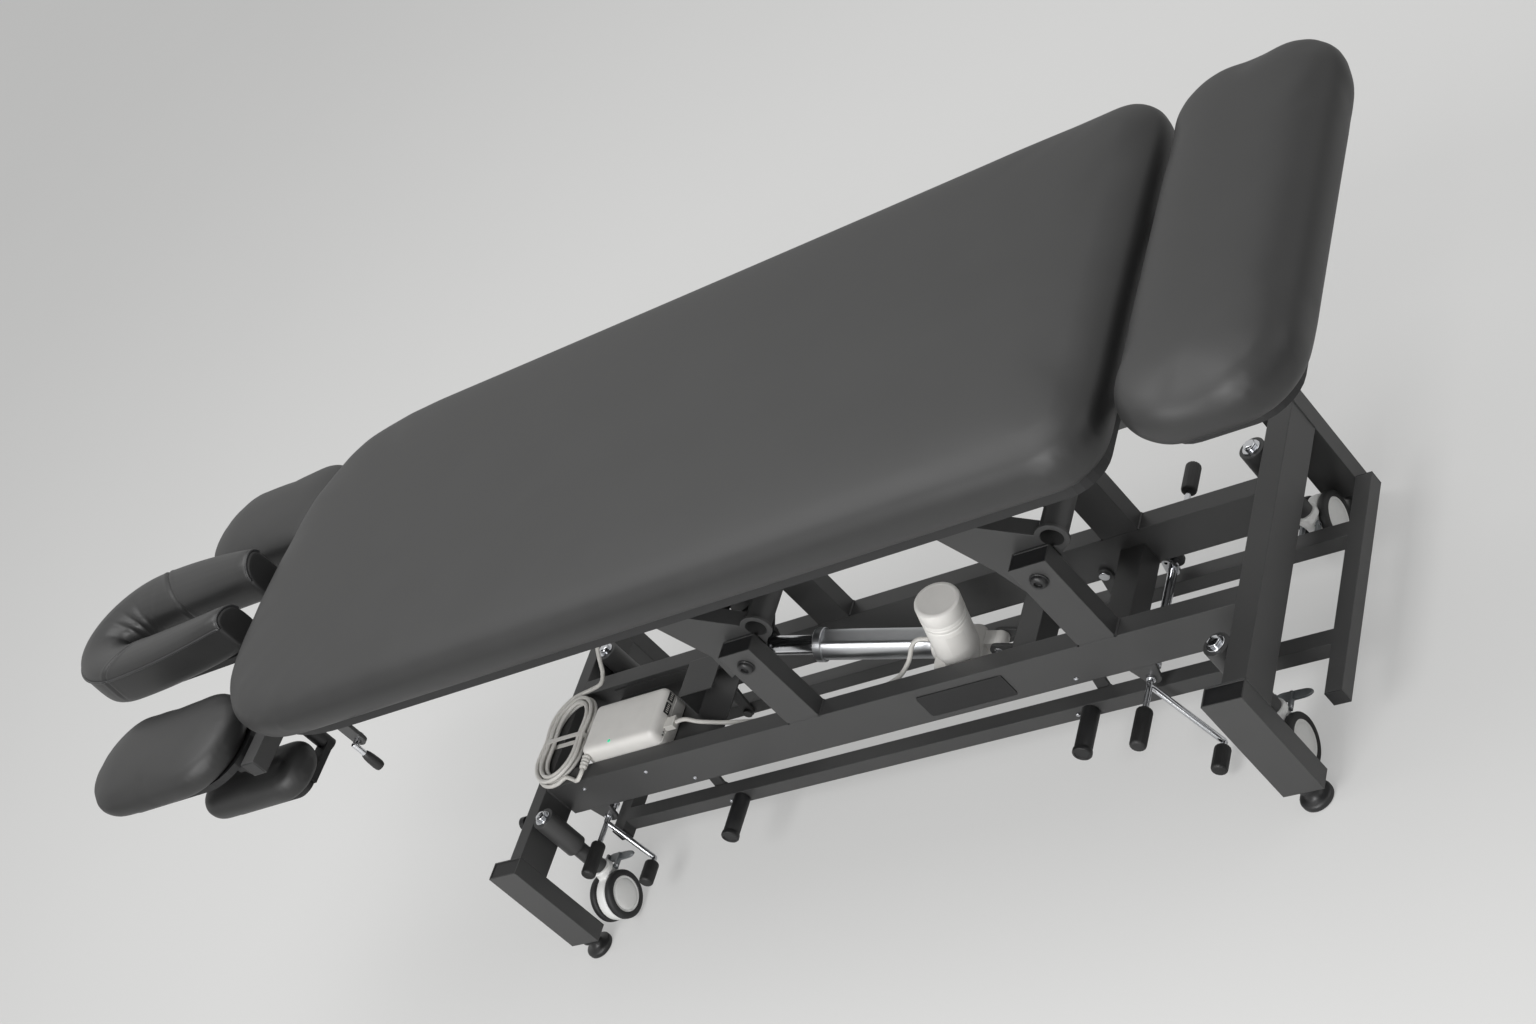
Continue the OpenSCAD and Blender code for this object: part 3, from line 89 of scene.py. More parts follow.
class TableFinishes(bpy.types.PropertyGroup):
    """Colours of the table's finishes."""
    vinyl: colour("Vinyl", "#222222", "Upholstery of the padded top")
    vinyl_worn: colour("Vinyl, rubbed", "#2b2b2b", "Upholstery where hands and sheets rub it")
    paint: colour("Powder coat", "#3b3b3b", "Satin paint of the steel frame")
    nylon: colour("Black nylon", "#161617", "Tube caps, feet, pegs and grips")
    shell: colour("Light shell", "#e6e4e0", "Control box and gear housing")
    motor: colour("Motor shell", "#ebe9e5", "Motor housing")
    sheath: colour("Cable sheath", "#d2d0cb", "Cables and their strain relief")
    caster: colour("Caster nylon", "#ececea", "Caster hoods and hub discs")
    floor: colour("Floor", "#d9d9d8", "Studio floor and backdrop")


class TableSizes(bpy.types.PropertyGroup):
    """Sizes of the table's finer details."""
    grain: FloatProperty(name="Grain", description="Width of one pebble of the vinyl's grain, in millimetres",
                         default=2.2, min=0.5, max=6)
    piping: FloatProperty(name="Piping", description="Diameter of the piping, in millimetres", default=4.6,
                          min=2, max=8)
    weld: FloatProperty(name="Weld bead", description="Width of a weld bead, in millimetres", default=5,
                        min=2, max=8)
    swell: FloatProperty(name="Swell", description="Most that a cushion's cover may move out, in millimetres",
                         default=7, min=0, max=20)
    pressure: FloatProperty(name="Pressure", description="Air pressure in the cushions' simulation",
                            default=4, min=0, max=20)
    frames: IntProperty(name="Frames", description="Frames of the cushions' simulation", default=20, min=1,
                        max=60)


# Geometry: every shape is a grid of points worked out as whole arrays

def at(points):
    """Drawing millimetres to metres on the floor, under the table's middle."""
    return (np.asarray(points, float) - (MID_X, 0, -FLOOR)) / 1000


def act(points):
    """Points given along the actuator: distance from the tail pin, across the table, and above its axis."""
    p = np.asarray(points, float)
    run = (LUG - TAIL) / np.linalg.norm(LUG - TAIL)
    up = np.array([run[2], 0, -run[0]])
    return TAIL + p[..., :1] * run + p[..., 1:2] * np.array([0, 1, 0]) + p[..., 2:3] * up


def unit(v):
    """Rows scaled to length one."""
    return v / np.maximum(np.linalg.norm(v, axis=-1, keepdims=True), 1e-9)


def net(points, around=True, along=False):
    """Quads over a grid of points: rows follow the shape's length, columns go round it."""
    rows, cols = points.shape[:2]
    r = np.arange(rows if along else rows - 1)[:, None]
    c = np.arange(cols if around else cols - 1)[None]
    a, b = r * cols + c, r * cols + (c + 1) % cols
    d, e = (r + 1) % rows * cols + c, (r + 1) % rows * cols + (c + 1) % cols
    faces = np.stack([a, b, e, d], -1).reshape(-1, 4).tolist()
    if around and not along:
        faces += [list(range(cols))[::-1], list(range((rows - 1) * cols, rows * cols))]
    return points.reshape(-1, 3), faces


def turned(profile, centre, axis, sides=40, flutes=(0, 0.0)):
    """A turned piece: each (radius, height) of a profile goes round an axis as centre + h axis
    + r (cos a, sin a), and flutes pull the radius in by a share as cos(n a) rises."""
    w = unit(np.asarray(axis, float))
    e1 = unit(np.cross(w, (0, 0, 1) if abs(w[2]) < 0.9 else (1, 0, 0)))
    e2 = np.cross(w, e1)
    p = np.asarray(profile, float)
    a = np.linspace(0, 2 * np.pi, sides, endpoint=False)
    r = p[:, :1] * (1 - flutes[1] * (0.5 + 0.5 * np.cos(flutes[0] * a))[None] * (flutes[0] > 0))
    pts = np.asarray(centre, float) + p[:, 1, None, None] * w + r[..., None] * (
        np.cos(a)[:, None] * e1 + np.sin(a)[:, None] * e2)
    return net(pts)


def round_bar(radius, length, edge, start=0.0):
    """Profile of a bar whose two rims are rounded by a quarter circle."""
    a = np.linspace(0, np.pi / 2, 5)
    low = np.stack([radius - edge + edge * np.sin(a), start + edge - edge * np.cos(a)], 1)
    high = np.stack([radius - edge + edge * np.cos(a), start + length - edge + edge * np.sin(a)], 1)
    return np.concatenate([[[0.01, start]], low, high, [[0.01, start + length]]])


def tube(path, radius, sides=14, up=(0, 0, 1)):
    """A round bar carried along a path: p + r (cos a s + sin a n), with s across the path and n = s x t."""
    p = np.asarray(path, float)
    r = np.broadcast_to(np.asarray(radius, float), (len(p),))
    t = unit(np.gradient(p, axis=0))
    s = unit(np.cross(t, np.asarray(up, float)))
    n = np.cross(s, t)
    a = np.linspace(0, 2 * np.pi, sides, endpoint=False)
    return net(p[:, None] + r[:, None, None] * (np.cos(a)[None, :, None] * s[:, None]
                                                + np.sin(a)[None, :, None] * n[:, None]))


def block(x, y, z):
    """A box between two places on each axis."""
    corners = ((0, 0), (1, 0), (1, 1), (0, 1))
    p = np.array([[(x[0], y[j], z[k]), (x[1], y[j], z[k])] for j, k in corners], float)
    return net(p.transpose(1, 0, 2))


def plate(outline, y, thick):
    """A flat plate from an outline in X and Z, thick along Y."""
    o = np.asarray(outline, float)
    ring = np.stack([o[:, 0], np.full(len(o), float(y)), o[:, 1]], 1)
    return net(np.stack([ring, ring + (0, thick, 0)]))


def even(outline, n):
    """A closed outline, redrawn as n points at even distances along it."""
    o = np.asarray(outline, float)
    o = np.vstack([o, o[:1]])
    run = np.concatenate([[0], np.cumsum(np.linalg.norm(np.diff(o, axis=0), axis=1))])
    s = np.linspace(0, run[-1], n, endpoint=False)
    return np.stack([np.interp(s, run, o[:, i]) for i in range(2)], 1)


def corner(cx, cy, r, a0, a1, n=16):
    """An arc of a circle from one angle to another, in degrees."""
    a = np.radians(np.linspace(a0, a1, n))
    return np.stack([cx + r * np.cos(a), cy + r * np.sin(a)], 1)


def rounded(x0, x1, y0, y1, r, n=240):
    """A rectangle with four round corners, anticlockwise."""
    return even(np.vstack([corner(x1 - r, y0 + r, r, -90, 0), corner(x1 - r, y1 - r, r, 0, 90),
                           corner(x0 + r, y1 - r, r, 90, 180), corner(x0 + r, y0 + r, r, 180, 270)]), n)


def fuller(v, power):
    """Sines or cosines pushed outwards as sign(v) |v|^power, which squares a circle off."""
    return np.sign(v) * np.abs(v) ** power


def main_outline(n=420):
    """The main section's plan: round foot corners, and a head end drawn as |x/a|^3 + |y/b|^3 = 1."""
    x0, x1, w, r, run, power = -228.0, 1425.0, 323.0, 80.0, 278.0, 3.0
    a = np.radians(np.linspace(90, -90, 121))
    head = np.stack([x0 + run * (1 - np.abs(np.cos(a)) ** (2 / power)), w * fuller(np.sin(a), 2 / power)], 1)
    return even(np.vstack([corner(x1 - r, r - w, r, -90, 0), corner(x1 - r, w - r, r, 0, 90), head]), n)


def catmull(route, m):
    """A smooth curve through a route: each span is the Catmull-Rom cubic of its four neighbours."""
    p = np.asarray(route, float)
    q = np.vstack([p[:1], p, p[-1:]])
    a, b, c, d = q[:-3], q[1:-2], q[2:-1], q[3:]
    t = (np.arange(m) / m)[None, :, None]
    a, b, c, d = (v[:, None] for v in (a, b, c, d))
    pts = 0.5 * (2 * b + (c - a) * t + (2 * a - 5 * b + 4 * c - d) * t ** 2
                 + (3 * b - a - 3 * c + d) * t ** 3)
    return np.vstack([pts.reshape(-1, 3), p[-1:]])


def cushion(outline, z0, z1, side, rings=12, crown=3.0):
    """A cushion: its side is the outline moved in along its normals at each height, and its top closes over
    rings drawn in towards the middle line while it rises by crown (1 - f^3)."""
    t = np.roll(outline, -1, 0) - np.roll(outline, 1, 0)
    n = unit(np.stack([t[:, 1], -t[:, 0]], 1))
    h = z1 - crown - z0
    rows = [np.column_stack([outline - n * inset, np.full(len(outline), z0 + h * up)]) for inset, up in side]
    lo, hi = outline.min(0), outline.max(0)
    half, mid = (hi - lo).min() / 2, (hi + lo) / 2
    long_x = (hi - lo)[0] > (hi - lo)[1]
    core = np.tile(mid, (len(outline), 1))
    i = 0 if long_x else 1
    core[:, i] = np.clip(outline[:, i], lo[i] + half, hi[i] - half)
    last = rows[-1][:, :2]
    for f in np.linspace(1, 0.02, rings)[1:]:
        rows.append(np.column_stack([core + (last - core) * f, np.full(len(outline), z1 - crown * f ** 3)]))
    return net(np.stack(rows))


# Side of a cushion: millimetres inwards at a share of its height; the cover is pulled in under the board
SIDE = [(27, 0), (20, 0.03), (13, 0.09), (7.5, 0.17), (3.2, 0.29), (0.6, 0.43), (0, 0.54), (1.5, 0.66),
        (5, 0.76), (11, 0.86), (20, 0.93), (31, 0.975), (46, 1.0)]


def piece(name, parts, body=None, stands_for=(), bevel=0.0, crease=38):
    """One object at the origin, made of parts (shape, material), moving with a CAD body if one is named."""
    mesh = bpy.data.meshes.new(name)
    points, faces, looks = [], [], []
    mats = list(dict.fromkeys(m for _, m in parts))
    start = 0
    for (p, f), m in parts:
        points.append(at(p))
        faces += [[i + start for i in face] for face in f]
        looks += [mats.index(m)] * len(f)
        start += len(p)
    mesh.from_pydata(np.vstack(points), [], faces)
    for m in mats:
        mesh.materials.append(bpy.data.materials[m])
    mesh.polygons.foreach_set("material_index", looks)
    mend(mesh)
    obj = bpy.data.objects.new(name, mesh)
    bpy.context.scene.collection.objects.link(obj)
    if bevel:
        rim = obj.modifiers.new("Rims", "BEVEL")
        rim.width, rim.segments, rim.limit_method = bevel / 1000, 2, "ANGLE"
        rim.harden_normals = False
    mesh.polygons.foreach_set("use_smooth", [True] * len(mesh.polygons))
    mesh.set_sharp_from_angle(angle=math.radians(crease))
    if body:
        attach(obj, body)
    if stands_for:
        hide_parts(*stands_for)
    return obj


def mend(mesh):
    """Closes seams and poles, and points every face outwards."""
    bm = bmesh.new()
    bm.from_mesh(mesh)
    bmesh.ops.remove_doubles(bm, verts=bm.verts, dist=2e-5)
    bmesh.ops.dissolve_degenerate(bm, edges=bm.edges, dist=1e-6)
    bmesh.ops.recalc_face_normals(bm, faces=bm.faces)
    bm.to_mesh(mesh)
    bm.free()


def inflate(obj, voxel, hold_z, cap):
    """Cloth pass on a cushion: even faces, air pressure, the underside held, and each point's move d
    shortened to d cap / (cap + |d|), so the cover swells without corners."""
    sizes = bpy.context.scene.table_sizes
    scene = bpy.context.scene
    even_faces = obj.modifiers.new("Even faces", "REMESH")
    even_faces.mode, even_faces.voxel_size = "VOXEL", voxel / 1000
    bake(obj)
    mesh = obj.data
    rest = np.empty(len(mesh.vertices) * 3, np.float32)
    mesh.vertices.foreach_get("co", rest)
    rest = rest.reshape(-1, 3)
    held = obj.vertex_groups.new(name="Held")
    held.add(np.flatnonzero(rest[:, 2] < hold_z / 1000 + FLOOR / 1000 + 0.004).tolist(), 1.0, "REPLACE")
    cloth = obj.modifiers.new("Cover", "CLOTH")
    cloth.settings.use_pressure = True
    cloth.settings.uniform_pressure_force = sizes.pressure
    cloth.settings.vertex_group_mass = "Held"
    cloth.settings.effector_weights.gravity = 0
    cloth.settings.quality = 4
    cloth.collision_settings.use_collision = False
    cloth.point_cache.frame_end = sizes.frames
    for f in range(1, sizes.frames + 1):
        scene.frame_set(f)
    moved = np.empty(len(rest) * 3, np.float32)
    obj.evaluated_get(bpy.context.evaluated_depsgraph_get()).data.vertices.foreach_get("co", moved)
    obj.modifiers.clear()
    obj.vertex_groups.clear()
    scene.frame_set(1)
    d = moved.reshape(-1, 3) - rest
    c = cap / 1000
    far = np.linalg.norm(d, axis=1, keepdims=True)
    mesh.vertices.foreach_set("co", (rest + d * c / (c + far)).astype(np.float32).ravel())
    calm = obj.modifiers.new("Calm", "SMOOTH")
    calm.factor, calm.iterations = 0.5, 8
    bake(obj)
    fine = obj.modifiers.new("Fine", "SUBSURF")
    fine.levels = fine.render_levels = 1
    obj.data.polygons.foreach_set("use_smooth", [True] * len(obj.data.polygons))


def bake(obj):
    """Turns an object's modifiers into its mesh, keeping its materials."""
    made = bpy.data.meshes.new_from_object(obj.evaluated_get(bpy.context.evaluated_depsgraph_get()))
    mats = list(obj.data.materials)
    obj.modifiers.clear()
    obj.data = made
    made.materials.clear()
    for m in mats:
        made.materials.append(m)


# Materials

def add(tree, kind, links=(), **settings):
    """Adds a node, sets its inputs or its own settings, and joins (output, input name) links to it."""
    node = tree.nodes.new(kind)
    for key, value in settings.items():
        name = key.replace("_", " ")
        target = next((s for s in node.inputs if s.name.lower() == name.lower()), None)
        if target is not None and not hasattr(node, key):
            target.default_value = value
        else:
            setattr(node, key, value)
    for source, socket in links:
        tree.links.new(source, node.inputs[socket])
    return node


def blank(name):
    """A new material with its tree emptied, and its output node."""
    mat = bpy.data.materials.new(name)
    mat.use_nodes = True
    mat.node_tree.nodes.clear()
    return mat, mat.node_tree, add(mat.node_tree, "ShaderNodeOutputMaterial")


def mottled(tree, place, a, b, spot_mm, sharp=0.5):
    """Two close colours mixed by soft noise spots of a given width."""
    spots = add(tree, "ShaderNodeTexNoise", [(place, "Vector")], Scale=1000 / spot_mm, Detail=3.0,
                Roughness=0.55)
    mix = add(tree, "ShaderNodeValToRGB", [(spots.outputs["Fac"], "Fac")])
    ramp = mix.color_ramp.elements
    ramp[0].position, ramp[1].position = 0.5 - sharp / 2, 0.5 + sharp / 2
    ramp[0].color, ramp[1].color = (*a[:3], 1), (*b[:3], 1)
    return spots, mix.outputs["Color"]


def moulded(name, a, b, spot_mm, rough, texture_mm=0.0, depth_mm=0.0, metallic=0.0, ior=1.5, edge_mm=0.0,
            stretch=None):
    """A finish of two close tones with uneven gloss, a fine surface texture and softened rims."""
    tree, out = blank(name)[1:]
    place = add(tree, "ShaderNodeTexCoord").outputs["Object"]
    if stretch:
        place = add(tree, "ShaderNodeMapping", [(place, "Vector")], Scale=stretch).outputs["Vector"]
    spots, tone = mottled(tree, place, a, b, spot_mm)
    gloss = add(tree, "ShaderNodeMapRange", [(spots.outputs["Fac"], "Value")])
    gloss.inputs["To Min"].default_value, gloss.inputs["To Max"].default_value = rough
    links = [(tone, "Base Color"), (gloss.outputs["Result"], "Roughness")]
    normal = None
    if edge_mm:
        normal = add(tree, "ShaderNodeBevel", samples=4, Radius=edge_mm / 1000).outputs["Normal"]
    if texture_mm:
        grit = add(tree, "ShaderNodeTexNoise", [(place, "Vector")], Scale=1000 / texture_mm, Detail=2.0)
        bump = add(tree, "ShaderNodeBump", [(grit.outputs["Fac"], "Height")], Strength=0.6,
                   Distance=depth_mm / 1000)
        if normal:
            tree.links.new(normal, bump.inputs["Normal"])
        normal = bump.outputs["Normal"]
    if normal:
        links.append((normal, "Normal"))
    shader = add(tree, "ShaderNodeBsdfPrincipled", links, Metallic=metallic, IOR=ior)
    tree.links.new(shader.outputs["BSDF"], out.inputs["Surface"])
    return shader


def vinyl(name, base, rubbed, grain_mm, depth_mm, rough):
    """PVC upholstery: embossed pebbles with fine creases between them, and a soft, slightly uneven gloss."""
    tree, out = blank(name)[1:]
    place = add(tree, "ShaderNodeTexCoord").outputs["Object"]
    spots, tone = mottled(tree, place, base, rubbed, 90, 0.7)
    # Real grain is 0.5 to 1 mm wide; it is drawn two to four times as wide so that it shows
    pebbles = add(tree, "ShaderNodeTexVoronoi", [(place, "Vector")], feature="SMOOTH_F1",
                  Scale=1000 / grain_mm, Smoothness=0.6)
    pores = add(tree, "ShaderNodeTexNoise", [(place, "Vector")], Scale=1000 / (grain_mm * 0.6), Detail=2.0)
    height = add(tree, "ShaderNodeMath", [(pores.outputs["Fac"], 0), (pebbles.outputs["Distance"], 1)],
                 operation="SUBTRACT")
    bump = add(tree, "ShaderNodeBump", [(height.outputs["Value"], "Height")], Strength=0.5,
               Distance=depth_mm / 1000)
    gloss = add(tree, "ShaderNodeMapRange", [(spots.outputs["Fac"], "Value")])
    gloss.inputs["To Min"].default_value, gloss.inputs["To Max"].default_value = rough
    shader = add(tree, "ShaderNodeBsdfPrincipled", [(tone, "Base Color"),
                                                    (gloss.outputs["Result"], "Roughness"),
                                                    (bump.outputs["Normal"], "Normal")], IOR=1.5)
    tree.links.new(shader.outputs["BSDF"], out.inputs["Surface"])


class TABLE_OT_finishes(bpy.types.Operator):
    """Makes the materials, each named for what the real one is"""
    bl_idname = "table.finishes"
    bl_label = "Finishes"

    def execute(self, context):
        c, s = context.scene.table_finishes, context.scene.table_sizes
        vinyl("Black vinyl upholstery", c.vinyl, c.vinyl_worn, s.grain, 0.10, (0.42, 0.56))
        # Softer hide-like cover of the face cradle: its pebbles are wider, and it shines a little more
        vinyl("Soft vinyl of the face cradle", c.vinyl, c.vinyl_worn, s.grain * 1.3, 0.10, (0.34, 0.5))
        # Piping: the same cover wound round a cord, so it is rubbed smooth and shines more
        moulded("Piping", linear("#262627"), linear("#303031"), 30, (0.32, 0.45), 1.2, 0.04)
        # Satin powder coat: orange-peel texture of about 1.4 mm, and rims that catch the light
        moulded("Charcoal powder coat", c.paint, [v * 1.12 for v in c.paint], 60, (0.38, 0.52), 1.4, 0.03,
                ior=1.52, edge_mm=2.2)
        # Injection-moulded caps and feet: a dull sheen, and soft rims
        moulded("Black nylon", c.nylon, linear("#1d1d1e"), 20, (0.35, 0.5), 1.0, 0.04, ior=1.53, edge_mm=1.5)
        # Soft rubber grips, a little dusty
        moulded("Black grip rubber", linear("#141414"), linear("#202020"), 12, (0.45, 0.62), 0.8, 0.05,
                ior=1.52)
        # Bright chrome over steel: nearly a mirror, with faint wiping marks
        moulded("Chrome plate", linear("#d4d5d8"), linear("#c6c8cc"), 25, (0.08, 0.2), metallic=1.0)
        # Extruded aluminium, satin anodised: fine lines run nearly along the tube
        moulded("Satin anodised aluminium", linear("#c3c4c6"), linear("#b4b6b9"), 14, (0.26, 0.42), 1.2, 0.02,
                metallic=1.0, stretch=(0.12, 1, 1))
        # Ground and polished steel: a mirror blurred a little by the grinding
        moulded("Ground steel rod", linear("#cfd0d2"), linear("#bfc1c4"), 10, (0.14, 0.24), 0.9, 0.008,
                metallic=1.0)
        # ABS mouldings: a fine spark-eroded texture
        moulded("Light grey ABS", c.shell, [v * 0.93 for v in c.shell], 40, (0.38, 0.48), 0.9, 0.03, ior=1.54)
        moulded("Off-white ABS", c.motor, [v * 0.94 for v in c.motor], 30, (0.34, 0.46), 0.9, 0.02, ior=1.54)
        # Extruded cable sheath: soft, with patches a little greyer from handling
        moulded("Light PVC sheath", c.sheath, [v * 0.88 for v in c.sheath], 18, (0.4, 0.55), 1.5, 0.03,
                ior=1.54)
        # Caster mouldings: nearly white, with a low sheen
        moulded("White nylon", c.caster, [v * 0.95 for v in c.caster], 25, (0.32, 0.45), 1.0, 0.02, ior=1.53)
        # Tyres: matt, with dust in their surface
        moulded("Black tyre rubber", linear("#19191a"), linear("#262626"), 10, (0.5, 0.7), 0.8, 0.06,
                ior=1.52)
        # Boards under the cushions: matt paint over wood
        moulded("Black painted board", linear("#121213"), linear("#19191a"), 30, (0.5, 0.65), 1.2, 0.05)
        # The bare plate: smooth and darker than the rail behind it
        moulded("Black anodised plate", linear("#0c0c0d"), linear("#121213"), 30, (0.28, 0.36), 0.8, 0.01,
                edge_mm=0.6)
        # Openings of the sockets and small holes: painted shade, flat dark faces that only have to read as
        # the shade inside their recesses
        moulded("Dark socket", linear("#2a2a2b"), linear("#343435"), 5, (0.5, 0.6))
        # A lit lens: its own green shows in the shade of the top
        shader = moulded("Green lamp", linear("#2fbf8c"), linear("#46d3a2"), 5, (0.2, 0.3))
        shader.inputs["Emission Color"].default_value = linear("#35c896")
        shader.inputs["Emission Strength"].default_value = 0.6
        # Smoked polycarbonate brake treads: light passes, blurred
        shader = moulded("Smoked polycarbonate", linear("#8b8f92"), linear("#7b7f82"), 12, (0.25, 0.4), 1.5,
                         0.04, ior=1.58)
        shader.inputs["Transmission Weight"].default_value = 0.35
        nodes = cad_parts
        coats = {
            "Charcoal powder coat": ["side_rails", "cross_tubes", "leg_posts", "pivot_posts", "cross_members",
                                     "caster_housings", "switch_frame", "head_links", "foot_links",
                                     "head_arm", "foot_arm", "top_frame", "leg_frame"]
                                    + [n + "_stem" for n in CASTERS],
            "Black nylon": ["tube_caps"],
            "Ground steel rod": ["actuator_rod", "cradle_rods"],
            "Black painted board": ["main_board", "leg_board", "cradle_plate", "near_arm_frame",
                                    "far_arm_frame", "near_elbow_frame", "far_elbow_frame"],
        }
        for mat_name, names in coats.items():
            for n in names:
                nodes[n].data.materials.clear()
                nodes[n].data.materials.append(bpy.data.materials[mat_name])
        return {"FINISHED"}


class TABLE_OT_stage(bpy.types.Operator):
    """Sets the camera, the pale floor and the soft studio light"""
    bl_idname = "table.stage"
    bl_label = "Stage"

    def execute(self, context):
        scene, c = context.scene, context.scene.table_finishes
        cam = bpy.data.cameras.new("Camera")
        cam.lens, cam.sensor_width, cam.clip_end = 57.1, 36.0, 200
        eye = bpy.data.objects.new("Camera", cam)
        right, down, ahead = ((0.7427, 0.2545, -0.6193), (-0.2556, -0.7472, -0.6135),
                              (-0.6189, 0.6140, -0.4899))
        turn = Matrix([right, [-v for v in down], [-v for v in ahead]]).transposed().to_4x4()
        eye.matrix_world = Matrix.Translation((2.307, -2.085, 2.201)) @ turn
        scene.collection.objects.link(eye)
        scene.camera = eye
        scene.view_settings.view_transform = "Standard"
        # Floor: matt studio vinyl, faintly mottled
        mat, tree, out = blank("Studio floor")
        place = add(tree, "ShaderNodeTexCoord").outputs["Object"]
        tone = mottled(tree, place, c.floor, [v * 0.985 for v in c.floor], 700, 0.8)[1]
        shader = add(tree, "ShaderNodeBsdfPrincipled", [(tone, "Base Color")], Roughness=0.9)
        shader.inputs["Specular IOR Level"].default_value = 0.1
        # The camera sees the floor partly as its own flat tone and partly lit, which keeps the table's shadow
        eyes = add(tree, "ShaderNodeLightPath")
        share = add(tree, "ShaderNodeMath", [(eyes.outputs["Is Camera Ray"], 0)], operation="MULTIPLY")
        share.inputs[1].default_value = FLAT_SHARE
        flat = add(tree, "ShaderNodeEmission", [(tone, "Color")], Strength=1.0)
        shown = add(tree, "ShaderNodeMixShader", [(share.outputs["Value"], 0), (shader.outputs["BSDF"], 1),
                                                  (flat.outputs[0], 2)])
        tree.links.new(shown.outputs[0], out.inputs["Surface"])
        mesh = bpy.data.meshes.new("Floor")
        r, sunk = 60.0, -0.0005
        mesh.from_pydata([(-r, -r, sunk), (r, -r, sunk), (r, r, sunk), (-r, r, sunk)], [], [(0, 1, 2, 3)])
        mesh.materials.append(mat)
        floor = bpy.data.objects.new("Floor", mesh)
        scene.collection.objects.link(floor)
        world = scene.world or bpy.data.worlds.new("Studio")
        scene.world = world
        world.use_nodes = True
        tree = world.node_tree
        tree.nodes.clear()
        seen = add(tree, "ShaderNodeLightPath")
        shown = add(tree, "ShaderNodeMath", [(seen.outputs["Is Camera Ray"], 0),
                                             (seen.outputs["Is Glossy Ray"], 1)], operation="MAXIMUM")
        shown = add(tree, "ShaderNodeMath", [(shown.outputs["Value"], 0),
                                             (seen.outputs["Is Transmission Ray"], 1)], operation="MAXIMUM")
        glow = add(tree, "ShaderNodeBackground", Color=(1, 1, 1, 1), Strength=0.4)
        back = add(tree, "ShaderNodeBackground", Color=(*c.floor, 1), Strength=0.95)
        mix = add(tree, "ShaderNodeMixShader", [(shown.outputs["Value"], 0), (glow.outputs[0], 1),
                                                (back.outputs[0], 2)])
        add(tree, "ShaderNodeOutputWorld", [(mix.outputs[0], 0)])
        for name, place, aim, size, power in (("Key", (0.3, -3.0, 3.2), (0, 0, 0.4), 1.6, 85),
                                              ("Top", (-0.9, 0.3, 4.2), (0, 0, 0.4), 3.0, 80),
                                              ("Fill", (0.9, -3.4, 1.3), (0.2, 0, 0.2), 1.4, 30),
                                              ("Foot", (3.8, 0.8, 2.2), (0.4, 0, 0.4), 2.4, 12)):
            lamp = bpy.data.lights.new(name, "AREA")
            lamp.size, lamp.energy = size, power
            obj = bpy.data.objects.new(name, lamp)
            obj.matrix_world = Matrix.Translation(place) @ (Vector(aim) - Vector(place)).to_track_quat(
                "-Z", "Y").to_matrix().to_4x4()
            scene.collection.objects.link(obj)
        return {"FINISHED"}


# Cables

MOTOR_ROUTE = [(262, -40, 0), (282, -40, 0), (312, -46, -9), (380, -52, -25), (480, -52, -42),
               (600, -50, -40), (680, -52, -28), (724, -50, -4), (748, -42, 20), (762, -38, 25),
               (778, -38, 20)]
RISE_ROUTE = [(84, 76, 37), (90, 76, 44), (104, 86, 74), (124, 104, 112), (170, 112, 160), (240, 100, 190),
              (320, 76, 204), (384, 40, 208), (420, 8, 212), (438, 0, 219)]
HANK_IN = [(92, -100, 14), (92, -107, 14), (86, -114, 10), (74, -113, 5)]
HANK_OUT = [(52, 74, 15), (66, 76, 20), (78, 76, 30)]


def hank():
    """The hank's turns: an oval wound clockwise from -60 degrees, inwards on its lower layer and outwards on
    the upper one, with its middle drawn in by 22 per cent where the tie holds it."""
    pitch, layer, base = 9.6, 9.0, 3.8
    turns = 4 + (360 - 60 - 80) / 360
    t = np.arange(int(turns * 24) + 1) / 24
    half = turns / 2
    a = np.radians(-60 - 360 * t)
    off = pitch * np.abs(t - half)
    y = np.sin(a) * (80 - pitch + off * 0.9)
    waist = 1 - 0.22 * np.exp(-(y / 34) ** 2)
    x = np.cos(a) * (46 - pitch + off) * waist
    z = base + layer * np.clip((t - half + 0.25) / 0.5, 0, 1)
    return np.stack([16 + x, -20 + y, z], 1)


